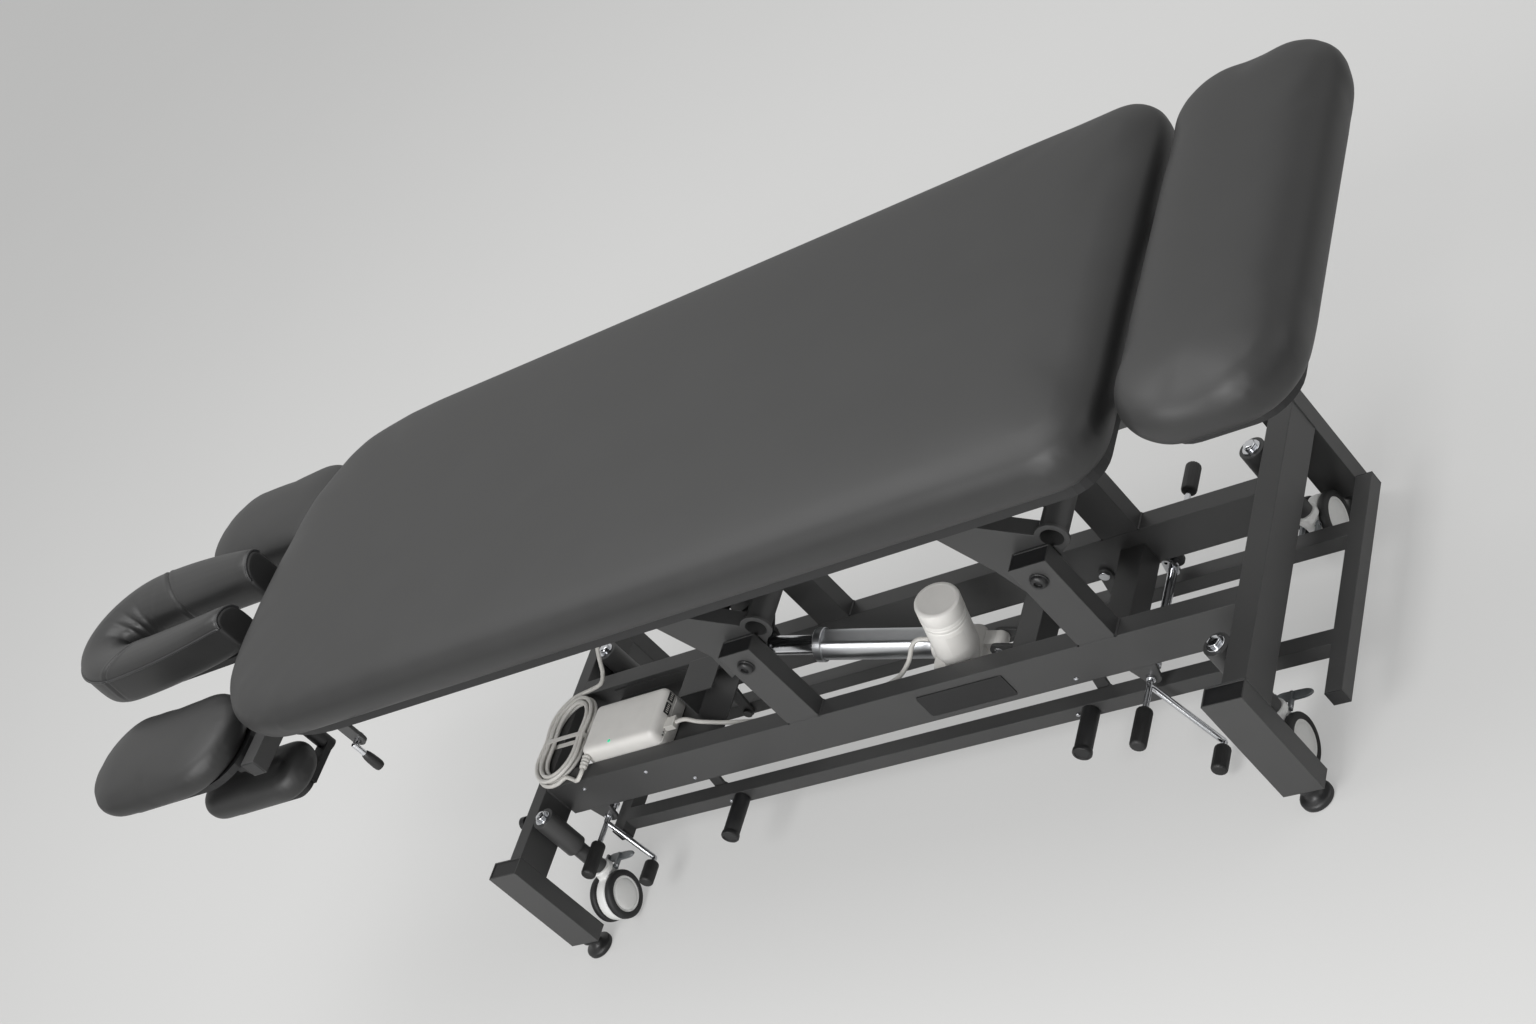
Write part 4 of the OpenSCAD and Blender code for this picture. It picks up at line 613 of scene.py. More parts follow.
class TABLE_OT_cables(bpy.types.Operator):
    """Makes the hand control lead with its hank, and the motor cable"""
    bl_idname = "table.cables"
    bl_label = "Cables"

    def execute(self, context):
        path = np.vstack([HANK_IN, hank(), HANK_OUT, catmull(RISE_ROUTE, 7)])
        path = catmull(path, 2)
        lead = piece("control_lead", [(tube(path, 3.5, 14), "Light PVC sheath")], crease=180)
        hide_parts("cable_hank", "cable_rise")
        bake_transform(lead)
        path = catmull(MOTOR_ROUTE, 8)
        cable = piece("motor_lead", [(tube(path, 3.5, 14), "Light PVC sheath")], crease=180)
        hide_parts("motor_cable")
        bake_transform(cable)
        # Ribbed strain relief: a tapered sleeve with four raised rings, 24 mm long
        h = np.linspace(0, 24, 33)
        r = 6.6 - 1.6 * h / 24 + 0.9 * (np.sin(h / 24 * 8 * np.pi - 1.2) > 0)
        profile = np.vstack([[(0.01, 0)], np.stack([r, h], 1), [(0.01, 24)]])
        sleeve = turned(profile, (92, -76, 14), (0, -1, 0), 24)
        plug = block((242, 262), (-50, -30), (-5, 5))
        piece("cable_glands", [(sleeve, "Light PVC sheath"), (plug, "Light PVC sheath")], "root",
              ["control_plugs"], bevel=1.0)
        # The tie: a flat band round the hank's waist
        a = np.linspace(0, 2 * np.pi, 48, endpoint=False)
        middle = (16, 0, 8.3)
        ring = np.stack([middle[0] + 44 * fuller(np.cos(a), 0.25), np.full(48, -22.0),
                         middle[2] + 8.6 * fuller(np.sin(a), 0.5)], 1)
        inner = (ring - middle) * (0.97, 1, 0.86) + middle
        rows = np.stack([ring - (0, 4, 0), ring + (0, 4, 0), inner + (0, 4, 0), inner - (0, 4, 0)])
        piece("hank_tie", [(net(rows, along=True), "Light PVC sheath")], "root")
        return {"FINISHED"}


# Upholstery

class TABLE_OT_pads(bpy.types.Operator):
    """Makes the main, leg, arm and elbow cushions"""
    bl_idname = "table.pads"
    bl_label = "Pads"

    def execute(self, context):
        look = "Black vinyl upholstery"
        swell = context.scene.table_sizes.swell
        low, high = 427, 509
        main_shape = cushion(main_outline(), low, high, SIDE, 16, 3.0)
        leg_shape = cushion(rounded(1431, 1671, -304, 304, 88, 300), low, high, SIDE, 12, 3.0)
        jobs = [("main_cushion", main_shape, "top", "main_pad", 10, low),
                ("leg_cushion", leg_shape, "leg_section", "leg_pad", 8, low)]
        thin = [(i * 0.8, z) for i, z in SIDE]
        for side, s in (("near", -1), ("far", 1)):
            ys = sorted((s * 150, s * 340))
            arm = cushion(rounded(-567, -222, *ys, 93, 260), 400, 461, thin, 10, 6.0)
            jobs.append((side + "_arm_cushion", arm, side + "_arm_rest", side + "_arm_pad", 6, 400))
            ys = sorted((s * 188, s * 295))
            elbow = cushion(rounded(-415, -170, *ys, 49, 220), 292, 348, thin, 8, 5.0)
            jobs.append((side + "_elbow_cushion", elbow, side + "_elbow", side + "_elbow_pad", 5, 292))
        for name, shape, body, node, voxel, base in jobs:
            obj = piece(name, [(shape, look)], body, [node])
            inflate(obj, voxel, base, swell)
        return {"FINISHED"}


# Where the horseshoe's arms end and its bend starts, its arms' place across, and how oval the bend is
ARM_END_X, BEND_X, ARM_Y, OVAL = -290.0, -538.6, 69.0, 1.6


def cradle_line(n_arm=70, n_bend=120):
    """Middle line of the horseshoe as (x, y), and its direction: two straight arms and half an ellipse."""
    near = np.stack([np.linspace(ARM_END_X, BEND_X, n_arm), np.full(n_arm, -ARM_Y)], 1)
    a = np.radians(np.linspace(270, 90, n_bend + 2)[1:-1])
    turn = np.stack([BEND_X + ARM_Y * OVAL * np.cos(a), ARM_Y * np.sin(a)], 1)
    line = np.vstack([near, turn, near[::-1] * (1, -1)])
    return line, unit(np.gradient(line, axis=0))


# Section of the horseshoe, as shares of its width out from the middle line and of its height
CRADLE = np.array([(-0.30, 0), (-0.43, 0), (-0.475, 0.06), (-0.495, 0.18), (-0.50, 0.34), (-0.49, 0.5),
                   (-0.46, 0.64), (-0.40, 0.76), (-0.30, 0.86), (-0.17, 0.935), (-0.02, 0.98), (0.12, 1.0),
                   (0.25, 0.995), (0.35, 0.965), (0.42, 0.91), (0.462, 0.84), (0.478, 0.78), (0.485, 0.66),
                   (0.495, 0.48), (0.50, 0.3), (0.495, 0.14), (0.475, 0.04), (0.43, 0), (0.30, 0)])


class TABLE_OT_face_cradle(bpy.types.Operator):
    """Makes the horseshoe cushion with its seams, gathers and piping"""
    bl_idname = "table.face_cradle"
    bl_label = "Face cradle"

    def execute(self, context):
        z0, width, tall = 447.0, 92.0, 76.0
        look = "Soft vinyl of the face cradle"
        closed = np.vstack([CRADLE, CRADLE[:1]])
        sides = np.linalg.norm(np.diff(closed * (width, tall), axis=0), axis=1)
        run = np.concatenate([[0], np.cumsum(sides)])
        s = np.linspace(0, run[-1], 150, endpoint=False)
        k = np.stack([np.interp(s, run, closed[:, i]) for i in (0, 1)], 1)
        for _ in range(3):
            k = (k + np.roll(k, 1, 0) + np.roll(k, -1, 0)) / 3
        line, way = cradle_line()
        steps = np.array([1.0, 0.99, 0.93, 0.8, 0.6, 0.35, 0.0])
        edge = 15.0
        shrink = 1 - (1 - np.sqrt(np.clip(1 - steps ** 2, 0, 1))) * 0.26
        fill = np.array([0.05, 0.5, 0.8])
        lead_in = [(edge, f * shrink[0]) for f in fill]
        lead_in += [(edge * st, sh) for st, sh in zip(steps[:-1], shrink)]
        start = [(line[0] - way[0] * d, way[0], f) for d, f in lead_in]
        end = [(line[-1] + way[-1] * d, way[-1], f) for d, f in lead_in[::-1]]
        keep = slice(4, -4)
        c = np.vstack([[p for p, _, _ in start], line[keep], [p for p, _, _ in end]])
        w = np.vstack([[q for _, q, _ in start], way[keep], [q for _, q, _ in end]])
        f = np.concatenate([[v for _, _, v in start], np.ones(len(line[keep])), [v for _, _, v in end]])
        # Outwards of the horseshoe is to the left of the way from the near arm round to the far one. The
        # arms' outer sides draw in towards their ends along a parabola, and the caps shrink about the middle
        drawn = 30 * np.clip((c[:, 0, None] - BEND_X) / (ARM_END_X - BEND_X), 0, 1) ** 2
        lateral = (k[None, :, 0] * (width - drawn) - drawn / 2) * f[:, None] - (1 - f[:, None]) * drawn / 2
        up = (0.45 + (k[None, :, 1] - 0.45) * f[:, None]) * tall
        x = c[:, 0, None] - w[:, 1, None] * lateral
        y = c[:, 1, None] + w[:, 0, None] * lateral
        z = z0 + up
        # Radial gathers on the inner slope of the bend, and two cross seams
        angle = np.degrees(np.arctan2(y, (x - BEND_X) / OVAL)) % 360
        bend = x < -500
        inner = np.clip((0.15 - k[None, :, 0]) / 0.5, 0, 1) * np.clip(k[None, :, 1] * 1.6 - 0.2, 0, 1)
        folds = np.exp(-((angle - 138) / 34) ** 2) * bend
        wave = np.cos(np.radians(angle - 138) * 16 + 0.6 * np.sin(np.radians(angle) * 5))
        depth = 3.2 * folds * inner * (0.5 + 0.5 * wave) ** 1.6
        far_seam = (x + 530 - (0.5 - k[None, :, 0]) * 70) * 0.85 + 1e3 * (y <= 0)
        near_seam = (x + 566 - (0.5 - k[None, :, 0]) * 62) * 0.85 + 1e3 * (y >= 0)
        top = np.clip(k[None, :, 1] * 4 - 0.4, 0, 1)
        for d in (far_seam, near_seam):
            depth = depth + 2.4 * np.exp(-(d / 2.6) ** 2) * top
            depth = depth - 0.8 * np.exp(-((np.abs(d) - 7) / 4) ** 2) * top
        pts = np.stack([x, y, z], -1)
        around = np.roll(pts, -1, 1) - np.roll(pts, 1, 1)
        normal = unit(np.cross(np.gradient(pts, axis=0), around))
        if (normal[len(c) // 2, :, 2] * (k[:, 1] > 0.9)).sum() < 0:
            normal = -normal
        pts = pts - normal * depth[..., None]
        obj = piece("cradle_cushion", [(net(pts), look)], "cradle", ["cradle_pad"], crease=180)
        # Piping along the outer top edge, and down the end faces
        i = int(np.argmin(np.hypot(k[:, 0] - 0.472, k[:, 1] - 0.80)))
        rope = pts[6:-6, i] + normal[6:-6, i] * 0.6
        r = context.scene.table_sizes.piping / 2
        parts = [(tube(rope, r, 10), "Piping")]
        j = int(np.argmin(np.hypot(k[:, 0] + 0.46, k[:, 1] - 0.62)))
        for row in (6, -7):
            lo, hi = sorted((i, j))
            arc = pts[row, lo:hi + 1] + normal[row, lo:hi + 1] * 0.6
            parts.append((tube(arc, r, 10, up=(1, 0, 0)), "Piping"))
        piece("cradle_piping", parts, "cradle", crease=180)
        return {"FINISHED"}


# Hardware of the base

class TABLE_OT_base_fittings(bpy.types.Operator):
    """Makes bolts, screws, levelling feet, weld beads and the blank plate"""
    bl_idname = "table.base_fittings"
    bl_label = "Base fittings"

    def execute(self, context):
        parts, black, chrome = [], "Black nylon", "Chrome plate"
        for s in (-1, 1):
            for x in (HEAD_PIVOT, FOOT_PIVOT):
                parts.append((turned(round_bar(8, 37, 0.5), (x, s * 72.2, PIVOT_Z), (0, s, 0), 32), black))
                dome = [(0.01, 0), (13.5, 0), (13.5, 1.6), (12.2, 2.2), (11.6, 5.2), (9.8, 7.6), (6.6, 8.8),
                        (6.2, 8.9), (5.2, 7.4), (5.0, 4.8), (0.01, 4.6)]
                parts.append((turned(dome, (x, s * 109, PIVOT_Z), (0, s, 0), 36), black))
        bright = []
        for x, s in CASTERS.values():
            washer = [(0.01, 0), (13, 0), (13.4, 0.5), (13.4, 1.8), (12.8, 2.4), (9.4, 2.5), (0.01, 2.5)]
            nut = [(0.01, 2.4), (8.8, 2.4), (9.3, 3.2), (9.3, 7.2), (8.6, 8.2), (6.6, 9.1), (3.5, 9.5),
                   (0.01, 9.5)]
            bright.append((turned(washer, (x, s * CASTER_Y, 0), (0, 0, 1), 32), chrome))
            bright.append((turned(nut, (x, s * CASTER_Y, 0), (0, 0, 1), 36, (6, 0.07)), chrome))
        for x, z in ((67, -21), (206, -19), (277, -59), (994, -59)):
            head = [(0.01, 0), (3.6, 0), (3.7, 0.5), (3.1, 1.6), (2.2, 2.0), (1.9, 1.9), (1.6, 0.8),
                    (0.01, 0.7)]
            bright.append((turned(head, (x, -109, z), (0, -1, 0), 20), chrome))
        for x in (277, 1004):
            for s in (-1, 1):
                bright.append((turned(round_bar(5, 5.6, 0.3), (x, s * 79, -59), (0, -s, 0), 20), chrome))
                bright.append((turned(round_bar(8, 5, 0.8), (x, s * 73.4, -59), (0, -s, 0), 24), chrome))
        bright.append((turned(round_bar(6, 34.6, 0.8), (839, -17.3, -59), (0, 1, 0), 24), chrome))
        piece("pivot_bolts", parts, "root", ["bolts"])
        piece("bright_bolts", bright, "root", crease=30)
        # Levelling feet: a disc, a waisted stem and a locking collar
        foot = [(0.01, 0), (21.8, 0), (23.1, 1.2), (23.5, 3), (23.5, 7.4), (22.8, 9), (20, 10.6), (15, 12),
                (11.5, 14.5), (10, 18), (9.6, 24), (11, 26), (14.5, 27), (15, 28), (15, 32.2), (14.2, 33.7),
                (0.01, 33.7)]
        feet = []
        for x in (-30, 1287):
            for s in (-1, 1):
                feet.append((turned(foot, (x, s * 254.5, -234), (0, 0, 1), 40), black))
        piece("levelling_feet", feet, "root", ["level_feet"])
        # Blank plate on the near rail
        plate_outline = rounded(745, 897, -60, -15, 3, 60)
        piece("blank_plate", [(plate(plate_outline, -110.4, 1.4), "Black anodised plate")], "root", bevel=0.4)
        # Weld beads where tubes meet: a half-sunk rope with a slow ripple
        r, beads = context.scene.table_sizes.weld / 2, []

        def bead(start, end, count, ripples, share, up):
            """Lays one bead between two points, its radius r share (1 + 0.12 sin(ripples n)) along it."""
            n = np.linspace(0, 1, count)
            path = np.asarray(start, float) + n[:, None] * np.subtract(end, start)
            rope = tube(path, r * share * (1 + 0.12 * np.sin(n * ripples)), 8, up=up)
            beads.append((rope, "Charcoal powder coat"))

        for s in (-1, 1):
            for x in (518, 578, 1037, 1097):
                bead((x, s * 79, 0.2), (x, s * 109, 0.2), 40, 70, 0.8, (0, 0, 1))
            for x in (0, 1282):
                bead((x, s * 109.3, -1), (x, s * 109.3, -59), 60, 120, 0.7, (1, 0, 0))
            for x in (-25, 1317):
                bead((x, s * 239.0, -1), (x, s * 239.0, -59), 40, 80, 0.7, (1, 0, 0))
        piece("weld_beads", beads, "root", crease=180)
        return {"FINISHED"}


def slotted_strip(x0, x1, y, z, height, thick, pitch, slot):
    """A strip with a row of slots: each cell joins a rectangle to the rounded slot inside it."""
    count = int((x1 - x0) // pitch)
    a = np.linspace(0, 2 * np.pi, 16, endpoint=False) + np.pi / 16
    hole = np.stack([fuller(np.cos(a), 0.6) * slot[0] / 2, fuller(np.sin(a), 0.8) * slot[1] / 2], 1)
    far = np.maximum(np.abs(np.cos(a)) / (pitch / 2), np.abs(np.sin(a)) / (height / 2))
    rim = np.stack([np.cos(a), np.sin(a)], 1) / far[:, None]
    near_c = np.abs(np.abs(rim) - (pitch / 2, height / 2)) < 1.6
    rim = np.where(near_c, np.sign(rim) * (pitch / 2, height / 2), rim)
    cells = []
    for i in range(count):
        c = np.array([x0 + pitch * (i + 0.5), z])
        rows = [(rim, 0), (rim, thick), (hole, thick), (hole, 0)]
        pts = np.stack([np.stack([c[0] + o[:, 0], np.full(16, y + t), c[1] + o[:, 1]], 1) for o, t in rows])
        cells.append(net(pts, along=True))
    return cells


class TABLE_OT_foot_controls(bpy.types.Operator):
    """Makes the lift pedals with their grips, the slotted strips and the pegs"""
    bl_idname = "table.foot_controls"
    bl_label = "Foot controls"

    def execute(self, context):
        def grip(base, axis, length):
            """A fluted grip that starts at base and runs along axis."""
            body = round_bar(12, length, 5)
            return turned(body, base, axis, 48, (16, 0.055)), "Black grip rubber"

        # Each pedal's place along the table, its crank's reach along and down, and whether it has a far grip
        pedals = (("head_pedal", 53, (52, -74), False), ("foot_pedal", 1092, (54, -109), True))
        for name, x, crank, far in pedals:
            z, rod = PEDAL_Z, "Chrome plate"
            parts = [(turned(round_bar(7, 224, 1), (x, -112, z), (0, 1, 0), 24), rod)]
            for s in (-1, 1):
                cam = [(x + 10 * math.sin(t), z - 10 * math.cos(t)) for t in np.linspace(-1.9, 1.9, 14)]
                cam += [(x + 6 * math.sin(t), z + 18 + 6 * math.cos(t)) for t in np.linspace(1.4, -1.4, 10)]
                parts.append((plate(cam, s * 84 - 3, 6), rod))
                parts.append((turned(round_bar(3, 14.6, 0.5), (x, s * 81, z + 18), (0, s, 0), 16), rod))
            parts.append((turned(round_bar(4.5, 54, 0.5), (x, -109, z), (0, -1, 0), 20), rod))
            parts.append(grip((x, -161, z), (0, -1, 0), 63))
            if far:
                parts.append((turned(round_bar(4.5, 124, 0.5), (x, 109, z), (0, 1, 0), 20), rod))
                parts.append(grip((x, 229, z), (0, 1, 0), 53))
            low = (x + crank[0], -150.0, z + crank[1])
            lever = catmull([(x, -112, z), (x, -121, z), (x + crank[0] * 0.12, -124, z + crank[1] * 0.12),
                             (x + crank[0] * 0.9, -147, z + crank[1] * 0.9), low, (low[0], -162, low[2]),
                             (low[0], -168, low[2])], 10)
            parts.append((tube(lever, 4.5, 16, up=(1, 0, 0.3)), rod))
            parts.append(grip((low[0], -159, low[2]), (0, -1, 0), 41))
            piece(name + "_levers", parts, name, [name], crease=40)
        cells = []
        for s in (-1, 1):
            strip = slotted_strip(39, 1106, s * 93.5 - 1.5, -78, 14, 3, 22, (15, 6.5))
            cells += [(c, "Charcoal powder coat") for c in strip]
        piece("slotted_strips", cells, "link", ["link_strips"], crease=30)
        parts, pins = [], []
        for x in (314, 970):
            for s in (-1, 1):
                body = [(0.01, 0), (12.2, 0), (13, 1), (13, 66), (12.4, 67), (12.4, 68), (14, 68.8),
                        (14.3, 71), (14.3, 74.5), (13.4, 76), (10.6, 76.6), (10.2, 75.2), (0.01, 75)]
                parts.append((turned(body, (x, s * 105, PEG_Z), (0, s, 0), 36), "Black nylon"))
                pin = turned(round_bar(3.2, 4, 1), (x - 22, s * 105, PEG_Z), (0, s, 0), 16)
                pins.append((pin, "Chrome plate"))
        for x, half in ((45, 120), (1352, 185)):
            for s in (-1, 1):
                ys = sorted((s * half, s * (half + 2)))
                parts.append((block((x, x + 25), ys, (-144, -119)), "Black nylon"))
        piece("foot_pegs", parts, "switch", ["switch_pegs"], crease=35)
        piece("peg_screws", pins, "switch")
        return {"FINISHED"}


class TABLE_OT_casters(bpy.types.Operator):
    """Makes the four twin-wheel casters: tyres, hub discs, hoods and brake treads"""
    bl_idname = "table.casters"
    bl_label = "Casters"

    def execute(self, context):
        for name, (x, s) in CASTERS.items():
            y = s * (CASTER_Y + TRAIL)
            tyre = [(29.5, 10.7), (36, 10.7), (38.6, 11.8), (39.8, 13.6), (40, 16), (40, 18.5), (39.6, 20.6),
                    (38, 22.6), (35, 23.8), (32, 24), (30.2, 23.4), (29.5, 22)]
            disc = [(5, 10.7), (30, 10.7), (30, 21.2), (29, 22.2), (27.4, 22.3), (26.6, 21.7), (25.6, 21.7),
                    (24.6, 22.5), (22, 23.1), (12, 23.7), (0.01, 23.8)]
            parts = []
            for d in (-1, 1):
                ring = np.asarray(tyre + tyre[:1])
                parts.append((turned(ring, (x, y, AXLE_Z), (d, 0, 0), 56), "Black tyre rubber"))
                parts.append((turned([(0.01, 10.7)] + disc, (x, y, AXLE_Z), (d, 0, 0), 48), "White nylon"))
            piece(name + "_wheels", parts, name + "_wheel", [name + "_wheel"])
            # Hood: a rounded disc between the wheels, a neck and a collar under the stem, melted into one
            hood = turned([(0.01, -9.8), (34, -9.8), (37, -8.6), (38.4, -6), (38.8, 0), (38.4, 6), (37, 8.6),
                           (34, 9.8), (0.01, 9.8)], (x, y, AXLE_Z), (1, 0, 0), 48)
            a = np.linspace(0, 2 * np.pi, 32, endpoint=False)
            rows = []
            for up, half_x, y0, y1 in ((-184, 9.6, -30, 17), (-166, 9.6, -24, 17), (-156, 11, -20, 17),
                                       (-150, 15, -17, 17)):
                mid, half_y = (y0 + y1) / 2, (y1 - y0) / 2
                rows.append(np.stack([x + half_x * fuller(np.cos(a), 0.7),
                                      s * (CASTER_Y - mid - half_y * fuller(np.sin(a), 0.7)),
                                      np.full(32, float(up))], 1))
            neck = net(np.stack(rows))
            collar = turned(round_bar(17, 12.5, 3), (x, s * CASTER_Y, -152), (0, 0, 1), 40)
            parts = [(shape, "White nylon") for shape in (hood, neck, collar)]
            obj = piece(name + "_hood", parts, name + "_fork", [name + "_fork"])
            melt = obj.modifiers.new("Moulded", "REMESH")
            melt.mode, melt.voxel_size = "VOXEL", 0.0014
            calm = obj.modifiers.new("Calm", "SMOOTH")
            calm.factor, calm.iterations = 0.5, 4
            bake(obj)
            obj.data.polygons.foreach_set("use_smooth", [True] * len(obj.data.polygons))
            # Brake tread: two lobes on a waist, and the arms that carry it
            px, py, pz = x, s * (CASTER_Y - 12), AXLE_Z + 31
            t = np.linspace(0, 2 * np.pi, 72, endpoint=False)
            mid_x, mid_y = 13.7, 19.8
            wide = 29 * np.cos(t) + mid_x
            deep = (9.6 + 2.4 * np.cos(2 * t)) * np.sin(t) * (1 - 0.12 * np.cos(t)) + mid_y
            layers = ((-5, 0.93), (-4, 1), (-2, 1), (-0.6, 0.95), (-0.2, 0.8), (-0.6, 0.4))
            rows = [np.stack([px + (wide - mid_x) * f + mid_x, py - s * ((deep - mid_y) * f + mid_y),
                              pz + np.full(72, h)], 1) for h, f in layers]
            parts = [(net(np.stack(rows)), "Smoked polycarbonate")]
            for d in (-1, 1):
                xs = sorted((px + d * 10.3, px + d * 14.6))
                ys = sorted((py - s * -4.5, py - s * 24))
                parts.append((block(xs, ys, (pz - 4.6, pz + 3.6)), "Smoked polycarbonate"))
            parts.append((turned(round_bar(2.5, 30, 0.3), (px - 15, py, pz), (1, 0, 0), 16), "Chrome plate"))
            piece(name + "_brake_tread", parts, name + "_pedal", [name + "_pedal"], bevel=0.8)
        return {"FINISHED"}


class TABLE_OT_lift_drive(bpy.types.Operator):
    """Makes the actuator's tube and gear housing and the motor"""
    bl_idname = "table.lift_drive"
    bl_label = "Lift drive"

    def execute(self, context):
        def fit(shape, look, flat=math.inf):
            """Puts a shape drawn along the actuator on its axis, flattened above and below where asked."""
            p, f = shape
            p = np.array(p)
            p[:, 2] = np.clip(p[:, 2], -flat, flat)
            parts.append(((act(p), f), look))

        parts, alloy, house = [], "Satin anodised aluminium", "Off-white ABS"
        along, across = (1, 0, 0), (0, 1, 0)
        # The barrel is a tube, so that the rod slides into its bore
        bore = [(15.4, 88), (22, 87), (23, 88), (23, 274), (22, 275), (15.4, 275)]
        fit(turned(bore + bore[:1], (0, 0, 0), along, 64), alloy, flat=19.5)
        ring = [(15, 272), (25, 272), (26, 273), (26, 284), (25, 285), (16.4, 285), (15.6, 284), (15, 283)]
        fit(turned(ring + ring[:1], (0, 0, 0), along, 64), alloy)
        for a in np.radians((45, 135, 225, 315)):
            fit(turned(round_bar(2.6, 5.6, 0.6), (281, 22.4 * math.cos(a), 22.4 * math.sin(a)), along, 14),
                "Chrome plate")
        outline, middle = rounded(19, 89, -62, 26, 16, 80), (54, -18)
        rows = [np.column_stack([(outline - middle) * f + middle, np.full(80, h)])
                for h, f in ((-28, 0.9), (-26.5, 0.97), (-23, 1), (6, 1), (10, 0.98), (12, 0.93))]
        fit(net(np.stack(rows)), house)
        collar = [(16.6, 89.2), (27, 89.2), (27, 95), (25.5, 98.5), (22, 100), (16.6, 100)]
        p, f = turned(collar + collar[:1], (0, 0, 0), along, 48)
        fit((p * (1, 0.93, 0.93), f), house)
        fit(block((2, 24), (-12, 12), (-11, 11)), house)
        fit(turned(round_bar(12, 24, 1), (0, -12, 0), across, 32), house)
        piece("actuator_barrel", parts, "actuator", ["actuator_tube"], crease=30)
        motor_x, motor_y, sticker_r = 50, -30, 33.75
        body = [(0.01, 12.4), (26, 12.4), (28.5, 13.5), (29.5, 17), (29.5, 22), (32.5, 27), (33.4, 34),
                (33.6, 90), (33.2, 92), (32.4, 93), (33.2, 94), (33.6, 95.5), (33.6, 99), (32.8, 100),
                (32.8, 101.5), (34, 102.6), (34, 106), (33.5, 107), (34, 108), (34, 127), (33.2, 130.4),
                (31, 132.2), (28, 132.8), (27, 132.4), (26, 132.2), (0.01, 132.4)]
        parts = []
        fit(turned(body, (motor_x, motor_y, 0), (0, 0, 1), 64), house)
        # A thin blank sticker, curved with the shell
        a = np.radians(np.linspace(-150, -100, 16))
        grid = np.stack([np.stack([motor_x + sticker_r * np.cos(a), motor_y + sticker_r * np.sin(a),
                                   np.full(16, v)], 1) for v in np.linspace(44, 84, 6)])
        inner = (grid - (motor_x, motor_y, 0)) * (0.99, 0.99, 1) + (motor_x, motor_y, 0)
        fit(net(np.concatenate([grid, inner[:, ::-1]], 1)), "Light grey ABS")
        piece("lift_motor", parts, "actuator", ["actuator_motor"], crease=35)
        return {"FINISHED"}


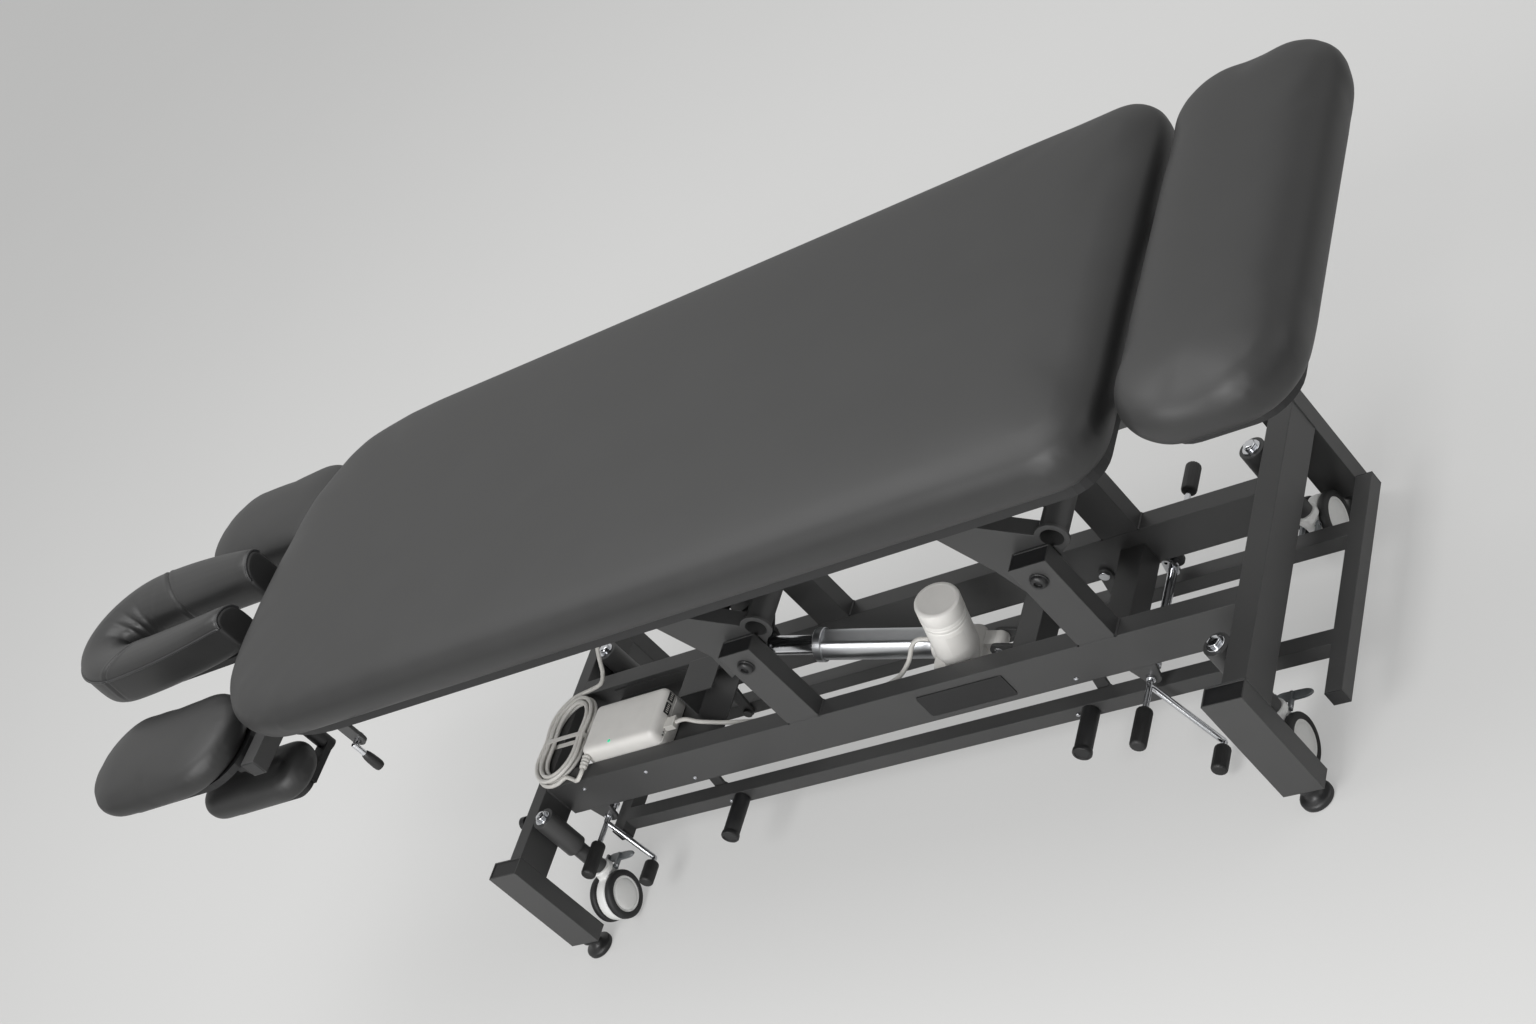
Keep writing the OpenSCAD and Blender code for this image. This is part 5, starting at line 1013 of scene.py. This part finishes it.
class TABLE_OT_controls(bpy.types.Operator):
    """Makes the control box with its lamp and sockets, and the head section's lever"""
    bl_idname = "table.controls"
    bl_label = "Controls"

    def execute(self, context):
        outline = rounded(82, 242, -76, 22, 12, 120)
        t = np.roll(outline, -1, 0) - np.roll(outline, 1, 0)
        n = unit(np.stack([t[:, 1], -t[:, 0]], 1))
        rings = [(8, 0), (2.5, 0.6), (0.6, 2.4), (0, 6), (0, 23.5), (0.7, 24.2), (0.7, 25), (0, 25.7),
                 (0, 36), (0.8, 41.5), (2.4, 45.6), (4.8, 48.4), (7.6, 50.0), (10.2, 50.6)]
        rows = [np.column_stack([outline - n * i, np.full(120, -25.7 + h)]) for i, h in rings]
        last, middle = rows[-1][:, :2], (162, -27)
        rows += [np.column_stack([(last - middle) * f + middle, np.full(120, 25.3)])
                 for f in (0.94, 0.4, 0.02)]
        look = "Light grey ABS"
        parts = [(net(np.stack(rows)), look)]
        lens = [(0.01, 0), (3.0, 0), (2.8, 0.6), (1.8, 1.0), (0.01, 1.2)]
        parts.append((turned(lens, (147, -66, 25.1), (0, 0, 1), 20), "Green lamp"))
        # Socket openings: thin dark faces of painted shade, with light contacts on them
        for y0, y1 in ((-26, -6), (-2, 14)):
            parts.append((block((241.4, 242.6), (y0, y1), (4, 15)), "Dark socket"))
            for v in np.arange(y0 + 3, y1 - 1, 3.4):
                parts.append((block((242.4, 243.0), (v, v + 1.4), (7, 12)), "Light PVC sheath"))
        # Three small holes, drawn as dark discs of painted shade
        for v in (-62, -56, -50):
            parts.append((turned(round_bar(1.2, 1.4, 0.3), (241.6, v, 2), (1, 0, 0), 12), "Dark socket"))
        # A small round screw cover on the lid
        parts.append((turned(round_bar(2.4, 1.2, 0.4), (100, -60, 24.6), (0, 0, 1), 16), look))
        piece("control_box_shell", parts, "root", ["control_box"], crease=35)
        rod = "Chrome plate"
        parts = [(turned(round_bar(5, 22, 0.8), (LEVER_X, -278, 380), (0, -1, 0), 20), rod),
                 (turned(round_bar(4.5, 59.5, 1), (LEVER_X, LEVER_Y, 384.5), (0, 0, -1), 20), rod)]
        grip = [(0.01, 0), (4.5, 0), (6.0, 1.5), (7.2, 6), (8.0, 14), (8.4, 26), (8.2, 31), (7.0, 34.5),
                (4, 35.9), (0.01, 36)]
        parts.append((turned(grip, (LEVER_X, LEVER_Y, 361), (0, 0, -1), 32), "Black grip rubber"))
        piece("head_section_lever", parts, "head_lever", ["head_lever"])
        # Plastic plugs close the open ends of the top frame's head bar
        plugs = [(block((-211, -183), sorted((s * 284, s * 291.2)), (373, 401)), "Black nylon")
                 for s in (-1, 1)]
        piece("head_bar_plugs", plugs, "top", bevel=1.2)
        return {"FINISHED"}


class TABLE_PT_panel(bpy.types.Panel):
    """Lists the table's settings and the steps that dress it"""
    bl_idname = "TABLE_PT_panel"
    bl_label = "Massage Table"
    bl_space_type = "VIEW_3D"
    bl_region_type = "UI"
    bl_category = "Massage Table"

    def draw(self, context):
        for group in (context.scene.table_finishes, context.scene.table_sizes):
            box = self.layout.box()
            for key in group.bl_rna.properties.keys():
                if key not in ("rna_type", "name"):
                    box.prop(group, key)
        for cls in STEPS:
            self.layout.operator(cls.bl_idname)


STEPS = (TABLE_OT_finishes, TABLE_OT_stage, TABLE_OT_cables, TABLE_OT_pads, TABLE_OT_face_cradle,
         TABLE_OT_base_fittings, TABLE_OT_foot_controls, TABLE_OT_casters, TABLE_OT_lift_drive,
         TABLE_OT_controls)
CLASSES = (TableFinishes, TableSizes, *STEPS, TABLE_PT_panel)


def register():
    for cls in CLASSES:
        bpy.utils.register_class(cls)
    bpy.types.Scene.table_finishes = PointerProperty(type=TableFinishes)
    bpy.types.Scene.table_sizes = PointerProperty(type=TableSizes)


def unregister():
    del bpy.types.Scene.table_finishes, bpy.types.Scene.table_sizes
    for cls in reversed(CLASSES):
        bpy.utils.unregister_class(cls)


def main():
    """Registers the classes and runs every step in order."""
    register()
    bpy.ops.table.finishes()
    bpy.ops.table.stage()
    bpy.ops.table.cables()
    bpy.ops.table.pads()
    bpy.ops.table.face_cradle()
    bpy.ops.table.base_fittings()
    bpy.ops.table.foot_controls()
    bpy.ops.table.casters()
    bpy.ops.table.lift_drive()
    bpy.ops.table.controls()


if __name__ == "__main__":
    main()
